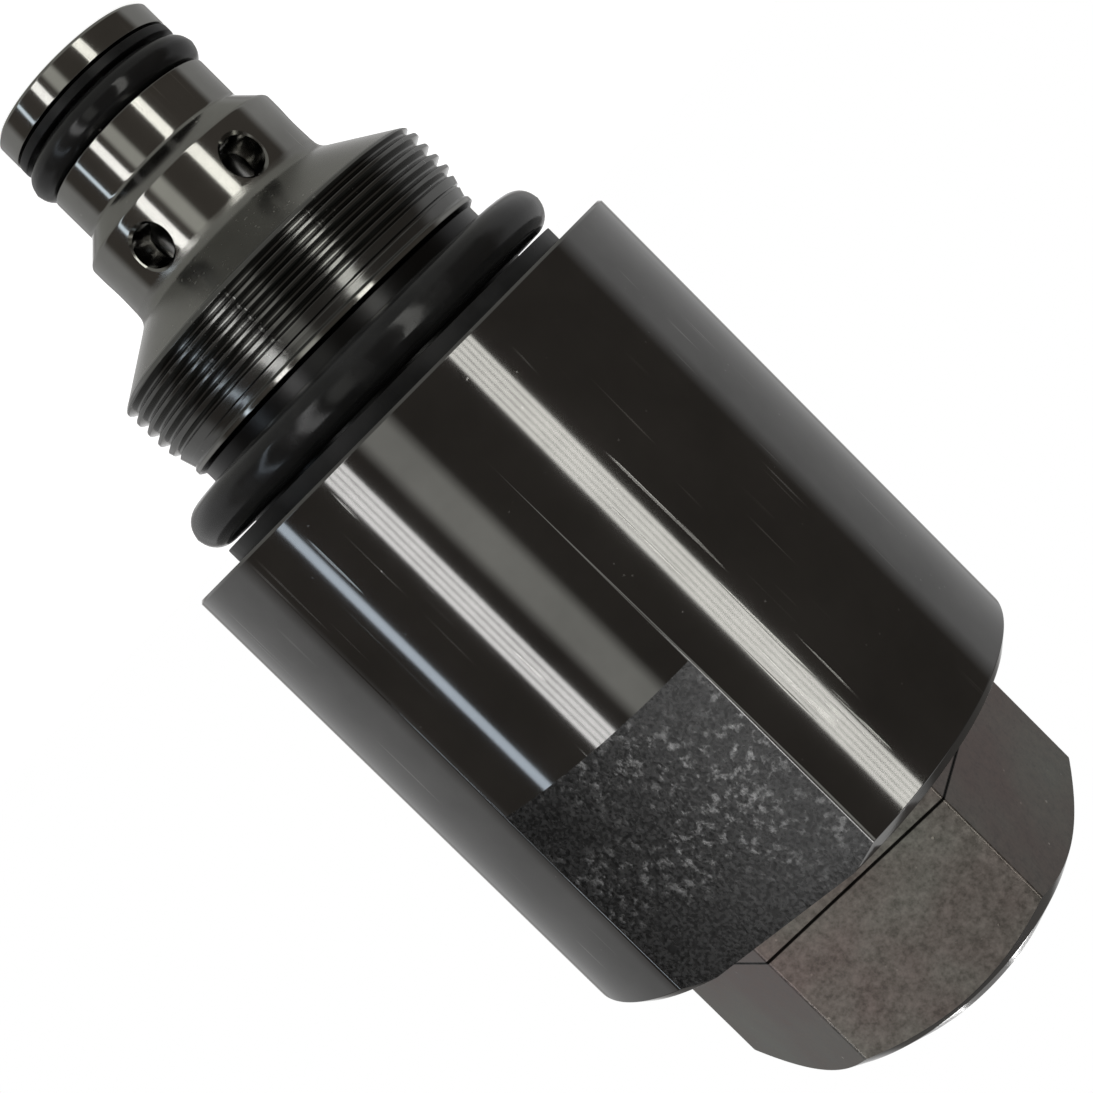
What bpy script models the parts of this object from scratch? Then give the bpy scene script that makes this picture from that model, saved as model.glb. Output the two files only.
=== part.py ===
"""Screw-in pilot-operated relief cartridge: each piece is its own object.

Run with: blender --background --python part.py

The axis is Z and the origin is the centre of the barrel's seating face. The nose, where the oil
comes in, points to -Z, and the hexagonal cap over the adjuster points to +Z. The two wrench flats
face +Y and -Y. Lengths are in metres.

The bores, the seals and the steps outside them follow from the seat's hole, and the screw, the nut,
the cap and the plug follow from the pilot spring, each by a wall, a step or a clearance. Heights
run both ways from the seating face.
"""

from math import cos, pi, radians, sin, sqrt, tan, tau

import bmesh
import bpy
from mathutils import Matrix, Vector

MM = 0.001

# How far apart pieces stand where the real ones touch
FIT = 0.3 * MM
SEAL_FIT = 0.2 * MM
SLIDE_FIT = 0.25 * MM

# How round the turned pieces are
WIDE_SIDES = 44
SMALL_SIDES = 24
SEAL_SIDES = 28
SEAL_SECTION_SIDES = 8
DRILL_SIDES = 10
COIL_STEPS = 10
FILLET_STEPS = 3

# Broken edges of the small pieces
EDGE = 0.4 * MM
FINE_EDGE = 0.3 * MM

# How far a cutter runs past what it cuts
CUT_PAST = 1.0 * MM

# Seat of the main stage
SEAT_HOLE_RADIUS = 3.4 * MM
SEAT_RING_WALL = 1.35 * MM
SEAT_RING_LENGTH = 3.1 * MM
SEAT_RING_SETBACK = 0.6 * MM
INLET_STEP = 0.2 * MM
INLET_MOUTH = 0.5 * MM

# Bores of the cage, outwards from the seat's
GUIDE_STEP = 0.3 * MM
CHAMBER_STEP = 0.7 * MM
CHAMBER_LENGTH = 5.0 * MM
CHAMBER_SETBACK = 0.7 * MM
FACE_SEAL_LEDGE = 0.15 * MM
FACE_SEAL_SECTION = 0.9 * MM
DRAIN_RADIUS = 0.55 * MM
DRAIN_RIM = 0.35 * MM
DRAIN_WALL = 0.95 * MM
DRAIN_COUNT = 2
PILOT_BORE_SINK = 1.2 * MM

# Steps of the cage's outside, and what stands ahead of the shoulder
SHANK_WALL = 3.7 * MM
SHANK_LENGTH = 12.0 * MM
SHANK_GROOVE_START = 1.4 * MM
SHANK_SEAL_SECTION = 1.6 * MM
NECK_STEP = 1.35 * MM
NECK_LENGTH = 6.4 * MM
THREAD_STEP = 0.95 * MM
THREAD_LENGTH = 6.21 * MM
THREAD_TAPER = 2.6 * MM
THREAD_CHAMFER = 0.35 * MM
FLARE_ANGLE = radians(57)
FLARE_FILLET = 1.4 * MM
COLLAR_LENGTH = 4.3 * MM
NOSE_STEP = 1.55 * MM
NOSE_WALL = 1.75 * MM
NOSE_FRONT_LAND = 1.9 * MM
NOSE_CHAMFER = 0.3 * MM

# Cross holes
CROSS_HOLE_COUNT = 6
CROSS_HOLE_RADIUS = 1.55 * MM
CROSS_HOLE_TURN = radians(39)
CROSS_HOLE_SETBACK = 2.7 * MM

# Seals round the nose and the neck
NOSE_O_RING_SECTION = 2.45 * MM
NOSE_O_RING_PROUD = 0.5 * MM
NOSE_BACKUP_THICKNESS = 0.65 * MM
SHOULDER_O_RING_SECTION = 3.53 * MM
SHOULDER_BACKUP_THICKNESS = 1.2 * MM
SHOULDER_BACKUP_WALL = 2.6 * MM

# Main poppet, its orifice and its spring
POPPET_TIP = 1.2 * MM
POPPET_TIP_RIM = 0.4 * MM
POPPET_STEM_STEP = 0.85 * MM
POPPET_WALL = 1.55 * MM
POPPET_WEB = 1.3 * MM
POPPET_LAND_LEAD = 0.8 * MM
POPPET_ROOM = 3.1 * MM
POPPET_GROOVES = 3
POPPET_GROOVE_PITCH = 2.2 * MM
POPPET_GROOVE_WIDTH = 0.5 * MM
POPPET_GROOVE_DEPTH = 0.3 * MM
ORIFICE_RADIUS = 0.5 * MM
ORIFICE_LENGTH = 2.3 * MM
SCREEN_INSET = 0.4 * MM
SCREEN_THICKNESS = 0.4 * MM
SCREEN_HOLE_RADIUS = 0.2 * MM
SCREEN_HOLE_RIM = 0.35 * MM
SCREEN_HOLES = 5
MAIN_WIRE = 0.7 * MM
MAIN_SPRING_ROOM = 0.4 * MM
MAIN_SPRING_PITCH = 2.3 * MM

# Pilot stage
PILOT_SEAT_LENGTH = 6.2 * MM
PILOT_SEAT_FLAT_DEPTH = 0.65 * MM
PILOT_HOLE_RADIUS = 1.2 * MM
PILOT_FEED_STEP = 0.75 * MM
PILOT_FEED_DEPTH = 2.914 * MM
RETAINER_THICKNESS = 1.0 * MM
RETAINER_DEPTH = 0.7 * MM
RETAINER_WALL = 1.5 * MM
RETAINER_OPENING = radians(40)
PILOT_FLANGE_LIP = 0.1 * MM
PILOT_FLANGE_LENGTH = 1.5 * MM
PILOT_CONE_LENGTH = 2.8 * MM
PILOT_CONE_SLOPE = 0.5
PILOT_TIP = 1.2 * MM
PILOT_STUD_LENGTH = 3.4 * MM
PILOT_SPRING_RADIUS = 3.9 * MM
PILOT_WIRE = 1.8 * MM
PILOT_SPRING_PITCH = 2.65 * MM
SPRING_CHAMBER_ROOM = 1.7 * MM
SHIM_THICKNESS = 0.5 * MM

# Springs
CLOSED_TURNS = 1
CLOSED_PITCH = 1.08

# Adjuster, outwards from the pilot spring
HEAD_BORE_ROOM = 1.2 * MM
BUTTON_ROOM = 0.6 * MM
BUTTON_FLANGE_LENGTH = 2.0 * MM
BUTTON_STUD_LENGTH = 3.7 * MM
SCREW_SHOULDER = 2.0 * MM
SCREW_INSET = 2.2 * MM
SCREW_HEAD_LIP = 1.0 * MM
SCREW_HEAD_REAR_LIP = 1.1 * MM
SCREW_SEAL_SECTION = 1.7 * MM
SCREW_BACKUP_THICKNESS = 0.6 * MM
SCREW_PROUD = 0.6 * MM
SOCKET_ACROSS = 4.0 * MM
SOCKET_DEPTH = 3.0 * MM
LOCK_NUT_WALL = 2.5 * MM
LOCK_NUT_HEIGHT = 3.8 * MM
LOCK_NUT_CHAMFER = 0.6 * MM
LOCK_NUT_RIM_INSET = 0.195 * MM
LOCK_WASHER_LIP = 0.9 * MM
LOCK_WASHER_THICKNESS = 0.8 * MM

# Cap and the boss that it screws on
NUT_ROOM = 2.5 * MM
BOSS_STEP = 0.7 * MM
BOSS_LENGTH = 3.75 * MM
CAP_SEAL_WALL = 1.4 * MM
CAP_SEAL_THICKNESS = 0.65 * MM
CAP_RIM = 1.5 * MM
CAP_SEAM = 0.2 * MM
CAP_SCREW_ROOM = 2.3 * MM
CAP_ROOF = 1.8 * MM
CAP_ROOF_STEP = 3.0 * MM
CAP_ROOF_CONE = 1.8 * MM
CAP_TOP_STEP = 4.0 * MM
CAP_EDGE_DROP = 4.4 * MM
CAP_CROWN = 0.35 * MM
CAP_CROWN_WIDTH = 3.8 * MM
HEX_TURN = radians(45)

# End plug
PLUG_LIP = 0.5 * MM
PLUG_DEPTH = 12.9 * MM
PLUG_SEAL_SECTION = 1.7 * MM
PLUG_SEAL_INSET = 1.2 * MM
HEAD_BORE_STOP = 2.0 * MM
COLLAR_THICKNESS = 2.15 * MM

# Barrel
BARREL_RADIUS = 19.75 * MM
BARREL_LENGTH = 40.0 * MM
BARREL_FRONT_CHAMFER = 0.5 * MM
BARREL_REAR_CHAMFER = 0.8 * MM
SEAT_RECESS = 0.3 * MM
SEAT_RECESS_ROOM = 0.45 * MM
FLAT_DEPTH = 1.75 * MM
FLATS_LENGTH = 16.7 * MM

# Radii of the main stage and the cage, from the sizes above
INLET_RADIUS = SEAT_HOLE_RADIUS - INLET_STEP
SEAT_RING_RADIUS = SEAT_HOLE_RADIUS + SEAT_RING_WALL
SEAT_BORE_RADIUS = SEAT_RING_RADIUS + SLIDE_FIT
POPPET_BORE_RADIUS = SEAT_BORE_RADIUS + GUIDE_STEP
CHAMBER_RADIUS = POPPET_BORE_RADIUS + CHAMBER_STEP
POPPET_RADIUS = POPPET_BORE_RADIUS - SLIDE_FIT
POPPET_STEM_RADIUS = POPPET_RADIUS - POPPET_STEM_STEP
POPPET_CONE_RADIUS = SEAT_HOLE_RADIUS - FIT
POPPET_TIP_RADIUS = POPPET_CONE_RADIUS - POPPET_TIP
POPPET_SPRING_BORE = POPPET_RADIUS - POPPET_WALL
ORIFICE_BORE_RADIUS = POPPET_TIP_RADIUS - POPPET_TIP_RIM
MAIN_SPRING_RADIUS = POPPET_SPRING_BORE - MAIN_SPRING_ROOM - MAIN_WIRE / 2
FACE_SEAL_RADIUS = POPPET_BORE_RADIUS + FACE_SEAL_LEDGE + FACE_SEAL_SECTION / 2
DRAIN_CIRCLE = FACE_SEAL_RADIUS + FACE_SEAL_SECTION / 2 + SEAL_FIT + DRAIN_RADIUS
PILOT_BORE_RADIUS = DRAIN_CIRCLE + DRAIN_RADIUS + DRAIN_RIM
PILOT_FEED_RADIUS = MAIN_SPRING_RADIUS - PILOT_FEED_STEP
COLLAR_RADIUS = DRAIN_CIRCLE + DRAIN_RADIUS + DRAIN_WALL
NOSE_RADIUS = COLLAR_RADIUS - NOSE_STEP
NOSE_O_RING_OUTSIDE = NOSE_RADIUS + NOSE_O_RING_PROUD
SHANK_RADIUS = PILOT_BORE_RADIUS + SHANK_WALL
NECK_RADIUS = SHANK_RADIUS + NECK_STEP
THREAD_RADIUS = NECK_RADIUS + THREAD_STEP
BACKUP_RADIUS = NECK_RADIUS + SEAL_FIT + SHOULDER_BACKUP_WALL
RECESS_RADIUS = BACKUP_RADIUS + SEAT_RECESS_ROOM

# Radii of the adjuster, the cap and the plug
PILOT_SPRING_OUTSIDE = PILOT_SPRING_RADIUS + PILOT_WIRE / 2
STUD_RADIUS = PILOT_SPRING_RADIUS - PILOT_WIRE / 2 - FIT
SPRING_CHAMBER_RADIUS = PILOT_SPRING_OUTSIDE + SPRING_CHAMBER_ROOM
HEAD_BORE_RADIUS = PILOT_SPRING_OUTSIDE + HEAD_BORE_ROOM
SCREW_RADIUS = HEAD_BORE_RADIUS - SCREW_SHOULDER
LOCK_NUT_ACROSS = 2 * (SCREW_RADIUS + LOCK_NUT_WALL)
CAP_ROOM_RADIUS = LOCK_NUT_ACROSS / 2 + NUT_ROOM
BOSS_RADIUS = CAP_ROOM_RADIUS + BOSS_STEP
CAP_SEAL_RADIUS = BOSS_RADIUS + 2 * FIT
CAP_RECESS_RADIUS = CAP_SEAL_RADIUS + CAP_SEAL_WALL + FIT
HEX_ACROSS = 2 * (CAP_RECESS_RADIUS + CAP_RIM)
HEX_CORNER = HEX_ACROSS / sqrt(3)
PLUG_BORE_RADIUS = HEX_ACROSS / 2 - PLUG_LIP

# Heights ahead of the seating face
SHOULDER_FACE = 0.0
RECESS_FLOOR = SHOULDER_FACE + SEAT_RECESS
NECK_REAR = RECESS_FLOOR - SLIDE_FIT
THREAD_REAR = SHOULDER_FACE - NECK_LENGTH
THREAD_FRONT = THREAD_REAR - THREAD_LENGTH
FLARE_REAR = THREAD_FRONT - THREAD_CHAMFER
FLARE_REAR_RADIUS = THREAD_RADIUS - THREAD_CHAMFER
FLARE_FRONT_RADIUS = COLLAR_RADIUS + FLARE_FILLET * (1 - cos(FLARE_ANGLE))
FLARE_FRONT = FLARE_REAR - (FLARE_REAR_RADIUS - FLARE_FRONT_RADIUS) / tan(FLARE_ANGLE)
COLLAR_END = FLARE_FRONT - FLARE_FILLET * sin(FLARE_ANGLE)
COLLAR_START = COLLAR_END - COLLAR_LENGTH
CROSS_HOLE_HEIGHT = COLLAR_START + CROSS_HOLE_SETBACK
CHAMBER_FRONT = COLLAR_START + CHAMBER_SETBACK
CHAMBER_REAR = CHAMBER_FRONT + CHAMBER_LENGTH
SEAT_FACE = CHAMBER_FRONT - SEAT_RING_SETBACK
SEAT_BORE_FLOOR = SEAT_FACE - SEAT_RING_LENGTH - SLIDE_FIT
GROOVE_REAR = SEAT_BORE_FLOOR - NOSE_WALL
GROOVE_FRONT = GROOVE_REAR - NOSE_O_RING_SECTION - NOSE_BACKUP_THICKNESS - 2.5 * SEAL_FIT
NOSE_TIP = GROOVE_FRONT - NOSE_FRONT_LAND

# Heights of the main stage
PILOT_BORE_FLOOR = SHOULDER_FACE - PILOT_BORE_SINK
PILOT_SEAT_FRONT = PILOT_BORE_FLOOR + FIT
PILOT_SEAT_REAR = PILOT_SEAT_FRONT + PILOT_SEAT_LENGTH
POPPET_FRONT = SEAT_FACE - POPPET_TIP
POPPET_REAR = PILOT_SEAT_FRONT - POPPET_ROOM
POPPET_LAND = CHAMBER_REAR - POPPET_LAND_LEAD
SCREEN_FRONT = POPPET_FRONT + SCREEN_INSET
SCREEN_REAR = SCREEN_FRONT + SCREEN_THICKNESS
ORIFICE_FRONT = SCREEN_REAR + SEAL_FIT
ORIFICE_REAR = ORIFICE_FRONT + ORIFICE_LENGTH
ORIFICE_FLOOR = ORIFICE_REAR + SEAL_FIT
POPPET_BORE_FLOOR = ORIFICE_FLOOR + POPPET_WEB

# Heights of the plug, the adjuster and the cap, back from the barrel's rear
BARREL_REAR = SHOULDER_FACE + BARREL_LENGTH
PLUG_FLOOR = BARREL_REAR - PLUG_DEPTH
PLUG_FRONT = PLUG_FLOOR + FIT
HEAD_BORE_END = BARREL_REAR - HEAD_BORE_STOP
COLLAR_FACE = BARREL_REAR + FIT
COLLAR_REAR = COLLAR_FACE + COLLAR_THICKNESS
BOSS_REAR = COLLAR_REAR + BOSS_LENGTH
LOCK_WASHER_FRONT = BOSS_REAR + SLIDE_FIT
LOCK_WASHER_REAR = LOCK_WASHER_FRONT + LOCK_WASHER_THICKNESS
LOCK_NUT_FRONT = LOCK_WASHER_REAR + SLIDE_FIT
LOCK_NUT_REAR = LOCK_NUT_FRONT + LOCK_NUT_HEIGHT
SCREW_FRONT = PLUG_FRONT + SCREW_INSET
SCREW_REAR = LOCK_NUT_REAR + SCREW_PROUD
BUTTON_REAR = SCREW_FRONT - FIT
BUTTON_FRONT = BUTTON_REAR - BUTTON_FLANGE_LENGTH
SHIM_REAR = BUTTON_FRONT - FIT
SHIM_FRONT = SHIM_REAR - SHIM_THICKNESS
CAP_MOUTH = COLLAR_REAR + CAP_SEAM
CAP_ROOM_TOP = SCREW_REAR + CAP_SCREW_ROOM
CAP_TOP = CAP_ROOM_TOP + CAP_ROOF

# Heights of the pilot stage, between the two
RETAINER_FRONT = PILOT_SEAT_REAR + SLIDE_FIT
PILOT_FLANGE_FRONT = PILOT_SEAT_REAR + PILOT_CONE_LENGTH
PILOT_FLANGE_REAR = PILOT_FLANGE_FRONT + PILOT_FLANGE_LENGTH
PILOT_SPRING_FRONT = PILOT_FLANGE_REAR + FIT
PILOT_SPRING_REAR = SHIM_FRONT - FIT


def clear_scene():
    for obj in list(bpy.data.objects):
        bpy.data.objects.remove(obj, do_unlink=True)


def finish_of(name, color, metallic, roughness):
    """A Principled material."""
    material = bpy.data.materials.new(name)
    material.use_nodes = True
    shader = material.node_tree.nodes["Principled BSDF"]
    shader.inputs["Base Color"].default_value = (*color, 1.0)
    shader.inputs["Metallic"].default_value = metallic
    shader.inputs["Roughness"].default_value = roughness
    return material


def make_finishes():
    return {
        "bright_steel": finish_of("bright_steel", (0.42, 0.42, 0.39), 1.0, 0.22),
        "dark_steel": finish_of("dark_steel", (0.16, 0.15, 0.15), 1.0, 0.18),
        "cap_steel": finish_of("cap_steel", (0.20, 0.19, 0.18), 1.0, 0.42),
        "hard_steel": finish_of("hard_steel", (0.38, 0.37, 0.36), 1.0, 0.30),
        "spring_steel": finish_of("spring_steel", (0.30, 0.29, 0.28), 1.0, 0.35),
        "brass": finish_of("brass", (0.62, 0.47, 0.20), 1.0, 0.30),
        "soft_aluminium": finish_of("soft_aluminium", (0.62, 0.62, 0.62), 1.0, 0.45),
        "seal_rubber": finish_of("seal_rubber", (0.012, 0.012, 0.013), 0.0, 0.30),
        "backup_plastic": finish_of("backup_plastic", (0.02, 0.02, 0.02), 0.0, 0.50),
    }


def add_object(name, mesh, material):
    obj = bpy.data.objects.new(name, mesh)
    bpy.context.scene.collection.objects.link(obj)
    if material:
        mesh.materials.append(material)
    return obj


def mesh_from(name, form):
    """Turns a bmesh into a smooth mesh with its faces pointing out and its creases sharp."""
    bmesh.ops.recalc_face_normals(form, faces=form.faces)
    mesh = bpy.data.meshes.new(name)
    form.to_mesh(mesh)
    form.free()
    mesh.shade_smooth()
    mesh.set_sharp_from_angle(angle=radians(30))
    return mesh


def turned_mesh(name, outline, sides):
    """A solid turned about Z from a closed outline of (radius, height) points.

    A point at radius 0 becomes a single point on the axis.
    """
    form = bmesh.new()
    rings = []
    for radius, height in outline:
        if radius == 0:
            rings.append([form.verts.new((0, 0, height))])
            continue
        turns = [tau * k / sides for k in range(sides)]
        rings.append([form.verts.new((radius * cos(a), radius * sin(a), height)) for a in turns])
    for ring, after in zip(rings, rings[1:] + rings[:1]):
        for k in range(sides):
            corners = [ring[k % len(ring)], ring[(k + 1) % sides % len(ring)]]
            corners += [after[(k + 1) % sides % len(after)], after[k % len(after)]]
            corners = list(dict.fromkeys(corners))
            if len(corners) > 2:
                form.faces.new(corners)
    return mesh_from(name, form)


def turned(name, outline, material, sides=SMALL_SIDES):
    return add_object(name, turned_mesh(name, outline, sides), material)


def sleeve(name, inner, outer, low, high, material, sides=SMALL_SIDES):
    """A plain ring or bush of rectangular section."""
    outline = [(inner, low), (outer, low), (outer, high), (inner, high)]
    return turned(name, outline, material, sides)


def seal(name, outside, section, height, material):
    """An O-ring, given its outside radius, its section's diameter and its middle's height."""
    outline = []
    for k in range(SEAL_SECTION_SIDES):
        around = tau * (k + 0.5) / SEAL_SECTION_SIDES
        reach = section / 2
        outline.append((outside - reach + reach * cos(around), height + reach * sin(around)))
    return turned(name, outline, material, SEAL_SIDES)


def cutter(name, mesh):
    """A helper for a Boolean, which is not a piece itself."""
    obj = add_object(name, mesh, None)
    obj.hide_render = True
    obj.display_type = "WIRE"
    return obj


def shape_by(obj, tool, operation):
    modifier = obj.modifiers.new(tool.name, "BOOLEAN")
    modifier.operation = operation
    modifier.solver = "EXACT"
    modifier.object = tool


def hex_cutter(name, across, low, high, turn):
    """A hexagonal prism, with a corner at the angle turn from +X."""
    form = bmesh.new()
    corner = across / sqrt(3)
    levels = []
    for height in (low, high):
        turns = [turn + tau * k / 6 for k in range(6)]
        levels.append([form.verts.new((corner * cos(a), corner * sin(a), height)) for a in turns])
    form.faces.new(levels[0])
    form.faces.new(levels[1])
    for k in range(6):
        after = (k + 1) % 6
        form.faces.new((levels[0][k], levels[0][after], levels[1][after], levels[1][k]))
    return cutter(name, mesh_from(name, form))


def drill_cutter(name, radius, start, end):
    """A round drill between two points."""
    way = Vector(end) - Vector(start)
    form = bmesh.new()
    bmesh.ops.create_cone(
        form, cap_ends=True, segments=DRILL_SIDES, radius1=radius, radius2=radius, depth=way.length
    )
    middle = Matrix.Translation((Vector(start) + Vector(end)) / 2)
    place = middle @ way.to_track_quat("Z", "Y").to_matrix().to_4x4()
    bmesh.ops.transform(form, matrix=place, verts=form.verts)
    return cutter(name, mesh_from(name, form))


def box_cutter(name, low, high):
    form = bmesh.new()
    bmesh.ops.create_cube(form, size=1.0)
    size = Vector(high) - Vector(low)
    place = Matrix.Translation((Vector(low) + Vector(high)) / 2) @ Matrix.Diagonal((*size, 1.0))
    bmesh.ops.transform(form, matrix=place, verts=form.verts)
    return cutter(name, mesh_from(name, form))


def round_corner(center, radius, start, end, steps):
    """Points (radius, height) along an arc from one angle to another."""
    arc = []
    for k in range(steps + 1):
        around = start + (end - start) * k / steps
        arc.append((center[0] + radius * cos(around), center[1] + radius * sin(around)))
    return arc


def coil_spring(name, radius, wire, low, high, pitch, material):
    """A compression spring with closed end turns, which fills the room between two heights.

    It has the whole number of open turns whose pitch comes closest to the one given.
    """
    first = low + wire / 2
    closed_rise = CLOSED_PITCH * wire
    room = high - low - wire - 2 * CLOSED_TURNS * closed_rise
    open_turns = max(round(room / pitch), 1)
    rise = room / open_turns
    turns = open_turns + 2 * CLOSED_TURNS
    points = []
    for k in range(turns * COIL_STEPS + 1):
        turn = k / COIL_STEPS
        height = first + closed_rise * min(turn, CLOSED_TURNS)
        height += rise * min(max(turn - CLOSED_TURNS, 0), open_turns)
        height += closed_rise * max(turn - (turns - CLOSED_TURNS), 0)
        points.append((radius * cos(tau * turn), radius * sin(tau * turn), height))
    curve = bpy.data.curves.new(name, "CURVE")
    curve.dimensions = "3D"
    curve.bevel_depth = wire / 2
    curve.bevel_resolution = 1
    curve.use_fill_caps = True
    path = curve.splines.new("POLY")
    path.points.add(len(points) - 1)
    for point, place in zip(path.points, points):
        point.co = (*place, 1.0)
    obj = bpy.data.objects.new(name, curve)
    bpy.context.scene.collection.objects.link(obj)
    curve.materials.append(material)
    return obj


def cage_outside():
    """The cage's outside from the mouth of the nose to the rear end of the shank."""
    center = (COLLAR_RADIUS + FLARE_FILLET, COLLAR_END)
    fillet = round_corner(center, FLARE_FILLET, pi, pi - FLARE_ANGLE, FILLET_STEPS)
    groove_floor = NOSE_O_RING_OUTSIDE - NOSE_O_RING_SECTION - SEAL_FIT
    seal_floor = SHANK_RADIUS - SHANK_SEAL_SECTION - 0.5 * SEAL_FIT
    groove_rear = SHANK_GROOVE_START + SHANK_SEAL_SECTION + 2 * SEAL_FIT
    return [
        (NOSE_RADIUS - NOSE_CHAMFER, NOSE_TIP),
        (NOSE_RADIUS, NOSE_TIP + NOSE_CHAMFER),
        (NOSE_RADIUS, GROOVE_FRONT),
        (groove_floor, GROOVE_FRONT),
        (groove_floor, GROOVE_REAR),
        (NOSE_RADIUS, GROOVE_REAR),
        (NOSE_RADIUS, COLLAR_START - NOSE_STEP),
        (COLLAR_RADIUS, COLLAR_START),
        *fillet,
        (FLARE_REAR_RADIUS, FLARE_REAR),
        (THREAD_RADIUS, THREAD_FRONT),
        (THREAD_RADIUS, THREAD_REAR - THREAD_TAPER),
        (NECK_RADIUS + FIT, THREAD_REAR),
        (NECK_RADIUS, THREAD_REAR + FIT),
        (NECK_RADIUS, NECK_REAR),
        (SHANK_RADIUS, NECK_REAR),
        (SHANK_RADIUS, SHANK_GROOVE_START),
        (seal_floor, SHANK_GROOVE_START),
        (seal_floor, groove_rear),
        (SHANK_RADIUS, groove_rear),
        (SHANK_RADIUS, SHANK_LENGTH),
    ]


def cage_inside():
    """The cage's bores from the rear end of the shank to the mouth of the nose."""
    retainer_rear = RETAINER_FRONT + RETAINER_THICKNESS + SLIDE_FIT
    return [
        (PILOT_BORE_RADIUS, SHANK_LENGTH),
        (PILOT_BORE_RADIUS, retainer_rear),
        (PILOT_BORE_RADIUS + RETAINER_DEPTH, retainer_rear),
        (PILOT_BORE_RADIUS + RETAINER_DEPTH, PILOT_SEAT_REAR),
        (PILOT_BORE_RADIUS, PILOT_SEAT_REAR),
        (PILOT_BORE_RADIUS, PILOT_BORE_FLOOR),
        (POPPET_BORE_RADIUS, PILOT_BORE_FLOOR),
        (POPPET_BORE_RADIUS, CHAMBER_REAR),
        (CHAMBER_RADIUS, CHAMBER_REAR),
        (CHAMBER_RADIUS, CHAMBER_FRONT),
        (SEAT_BORE_RADIUS, CHAMBER_FRONT),
        (SEAT_BORE_RADIUS, SEAT_BORE_FLOOR),
        (INLET_RADIUS, SEAT_BORE_FLOOR),
        (INLET_RADIUS, NOSE_TIP + INLET_MOUTH),
        (INLET_RADIUS + INLET_MOUTH, NOSE_TIP),
    ]


def make_cage(finishes):
    cage = turned(
        "valve_cage", cage_outside() + cage_inside(), finishes["bright_steel"], WIDE_SIDES
    )
    for k in range(CROSS_HOLE_COUNT):
        turn = CROSS_HOLE_TURN + tau * k / CROSS_HOLE_COUNT
        way = Vector((cos(turn), sin(turn), 0))
        foot = Vector((0, 0, CROSS_HOLE_HEIGHT))
        inner = foot + way * (CHAMBER_RADIUS - CUT_PAST)
        outer = foot + way * (COLLAR_RADIUS + CUT_PAST)
        drill = drill_cutter(f"cross_drill_{k + 1}", CROSS_HOLE_RADIUS, inner, outer)
        shape_by(cage, drill, "DIFFERENCE")
    for k in range(DRAIN_COUNT):
        turn = CROSS_HOLE_TURN + tau * k / DRAIN_COUNT
        beside = Vector((DRAIN_CIRCLE * cos(turn), DRAIN_CIRCLE * sin(turn), 0))
        low = beside + Vector((0, 0, CROSS_HOLE_HEIGHT))
        high = beside + Vector((0, 0, PILOT_BORE_FLOOR + CUT_PAST))
        drill = drill_cutter(f"drain_drill_{k + 1}", DRAIN_RADIUS, low, high)
        shape_by(cage, drill, "DIFFERENCE")


def make_outer_seals(finishes):
    rubber = finishes["seal_rubber"]
    plastic = finishes["backup_plastic"]
    backup_front = GROOVE_FRONT + SEAL_FIT
    backup_rear = backup_front + NOSE_BACKUP_THICKNESS
    backup_inner = NOSE_O_RING_OUTSIDE - NOSE_O_RING_SECTION
    sleeve(
        "nose_backup_ring", backup_inner, NOSE_RADIUS, backup_front, backup_rear, plastic, SEAL_SIDES
    )
    nose_seal = GROOVE_REAR - 0.5 * SEAL_FIT - NOSE_O_RING_SECTION / 2
    seal("nose_o_ring", NOSE_O_RING_OUTSIDE, NOSE_O_RING_SECTION, nose_seal, rubber)
    ring_rear = RECESS_FLOOR - SEAL_FIT
    ring_front = ring_rear - SHOULDER_BACKUP_THICKNESS
    ring_inner = NECK_RADIUS + SEAL_FIT
    sleeve(
        "shoulder_backup_ring", ring_inner, BACKUP_RADIUS, ring_front, ring_rear, plastic, WIDE_SIDES
    )
    outside = NECK_RADIUS + SEAL_FIT + SHOULDER_O_RING_SECTION
    middle = ring_front - SEAL_FIT - SHOULDER_O_RING_SECTION / 2
    seal("shoulder_o_ring", outside, SHOULDER_O_RING_SECTION, middle, rubber)
    cage_seal = SHANK_GROOVE_START + SEAL_FIT + SHANK_SEAL_SECTION / 2
    seal("cage_o_ring", SHANK_RADIUS + 0.5 * SEAL_FIT, SHANK_SEAL_SECTION, cage_seal, rubber)


def make_main_stage(finishes):
    steel = finishes["hard_steel"]
    seat_front = SEAT_FACE - SEAT_RING_LENGTH
    sleeve("seat_ring", SEAT_HOLE_RADIUS, SEAT_RING_RADIUS, seat_front, SEAT_FACE, steel)
    make_main_poppet(steel)
    make_orifice(finishes)
    coil_spring(
        "main_spring",
        MAIN_SPRING_RADIUS,
        MAIN_WIRE,
        POPPET_BORE_FLOOR + FIT,
        PILOT_SEAT_FRONT - FIT,
        MAIN_SPRING_PITCH,
        finishes["spring_steel"],
    )


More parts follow.
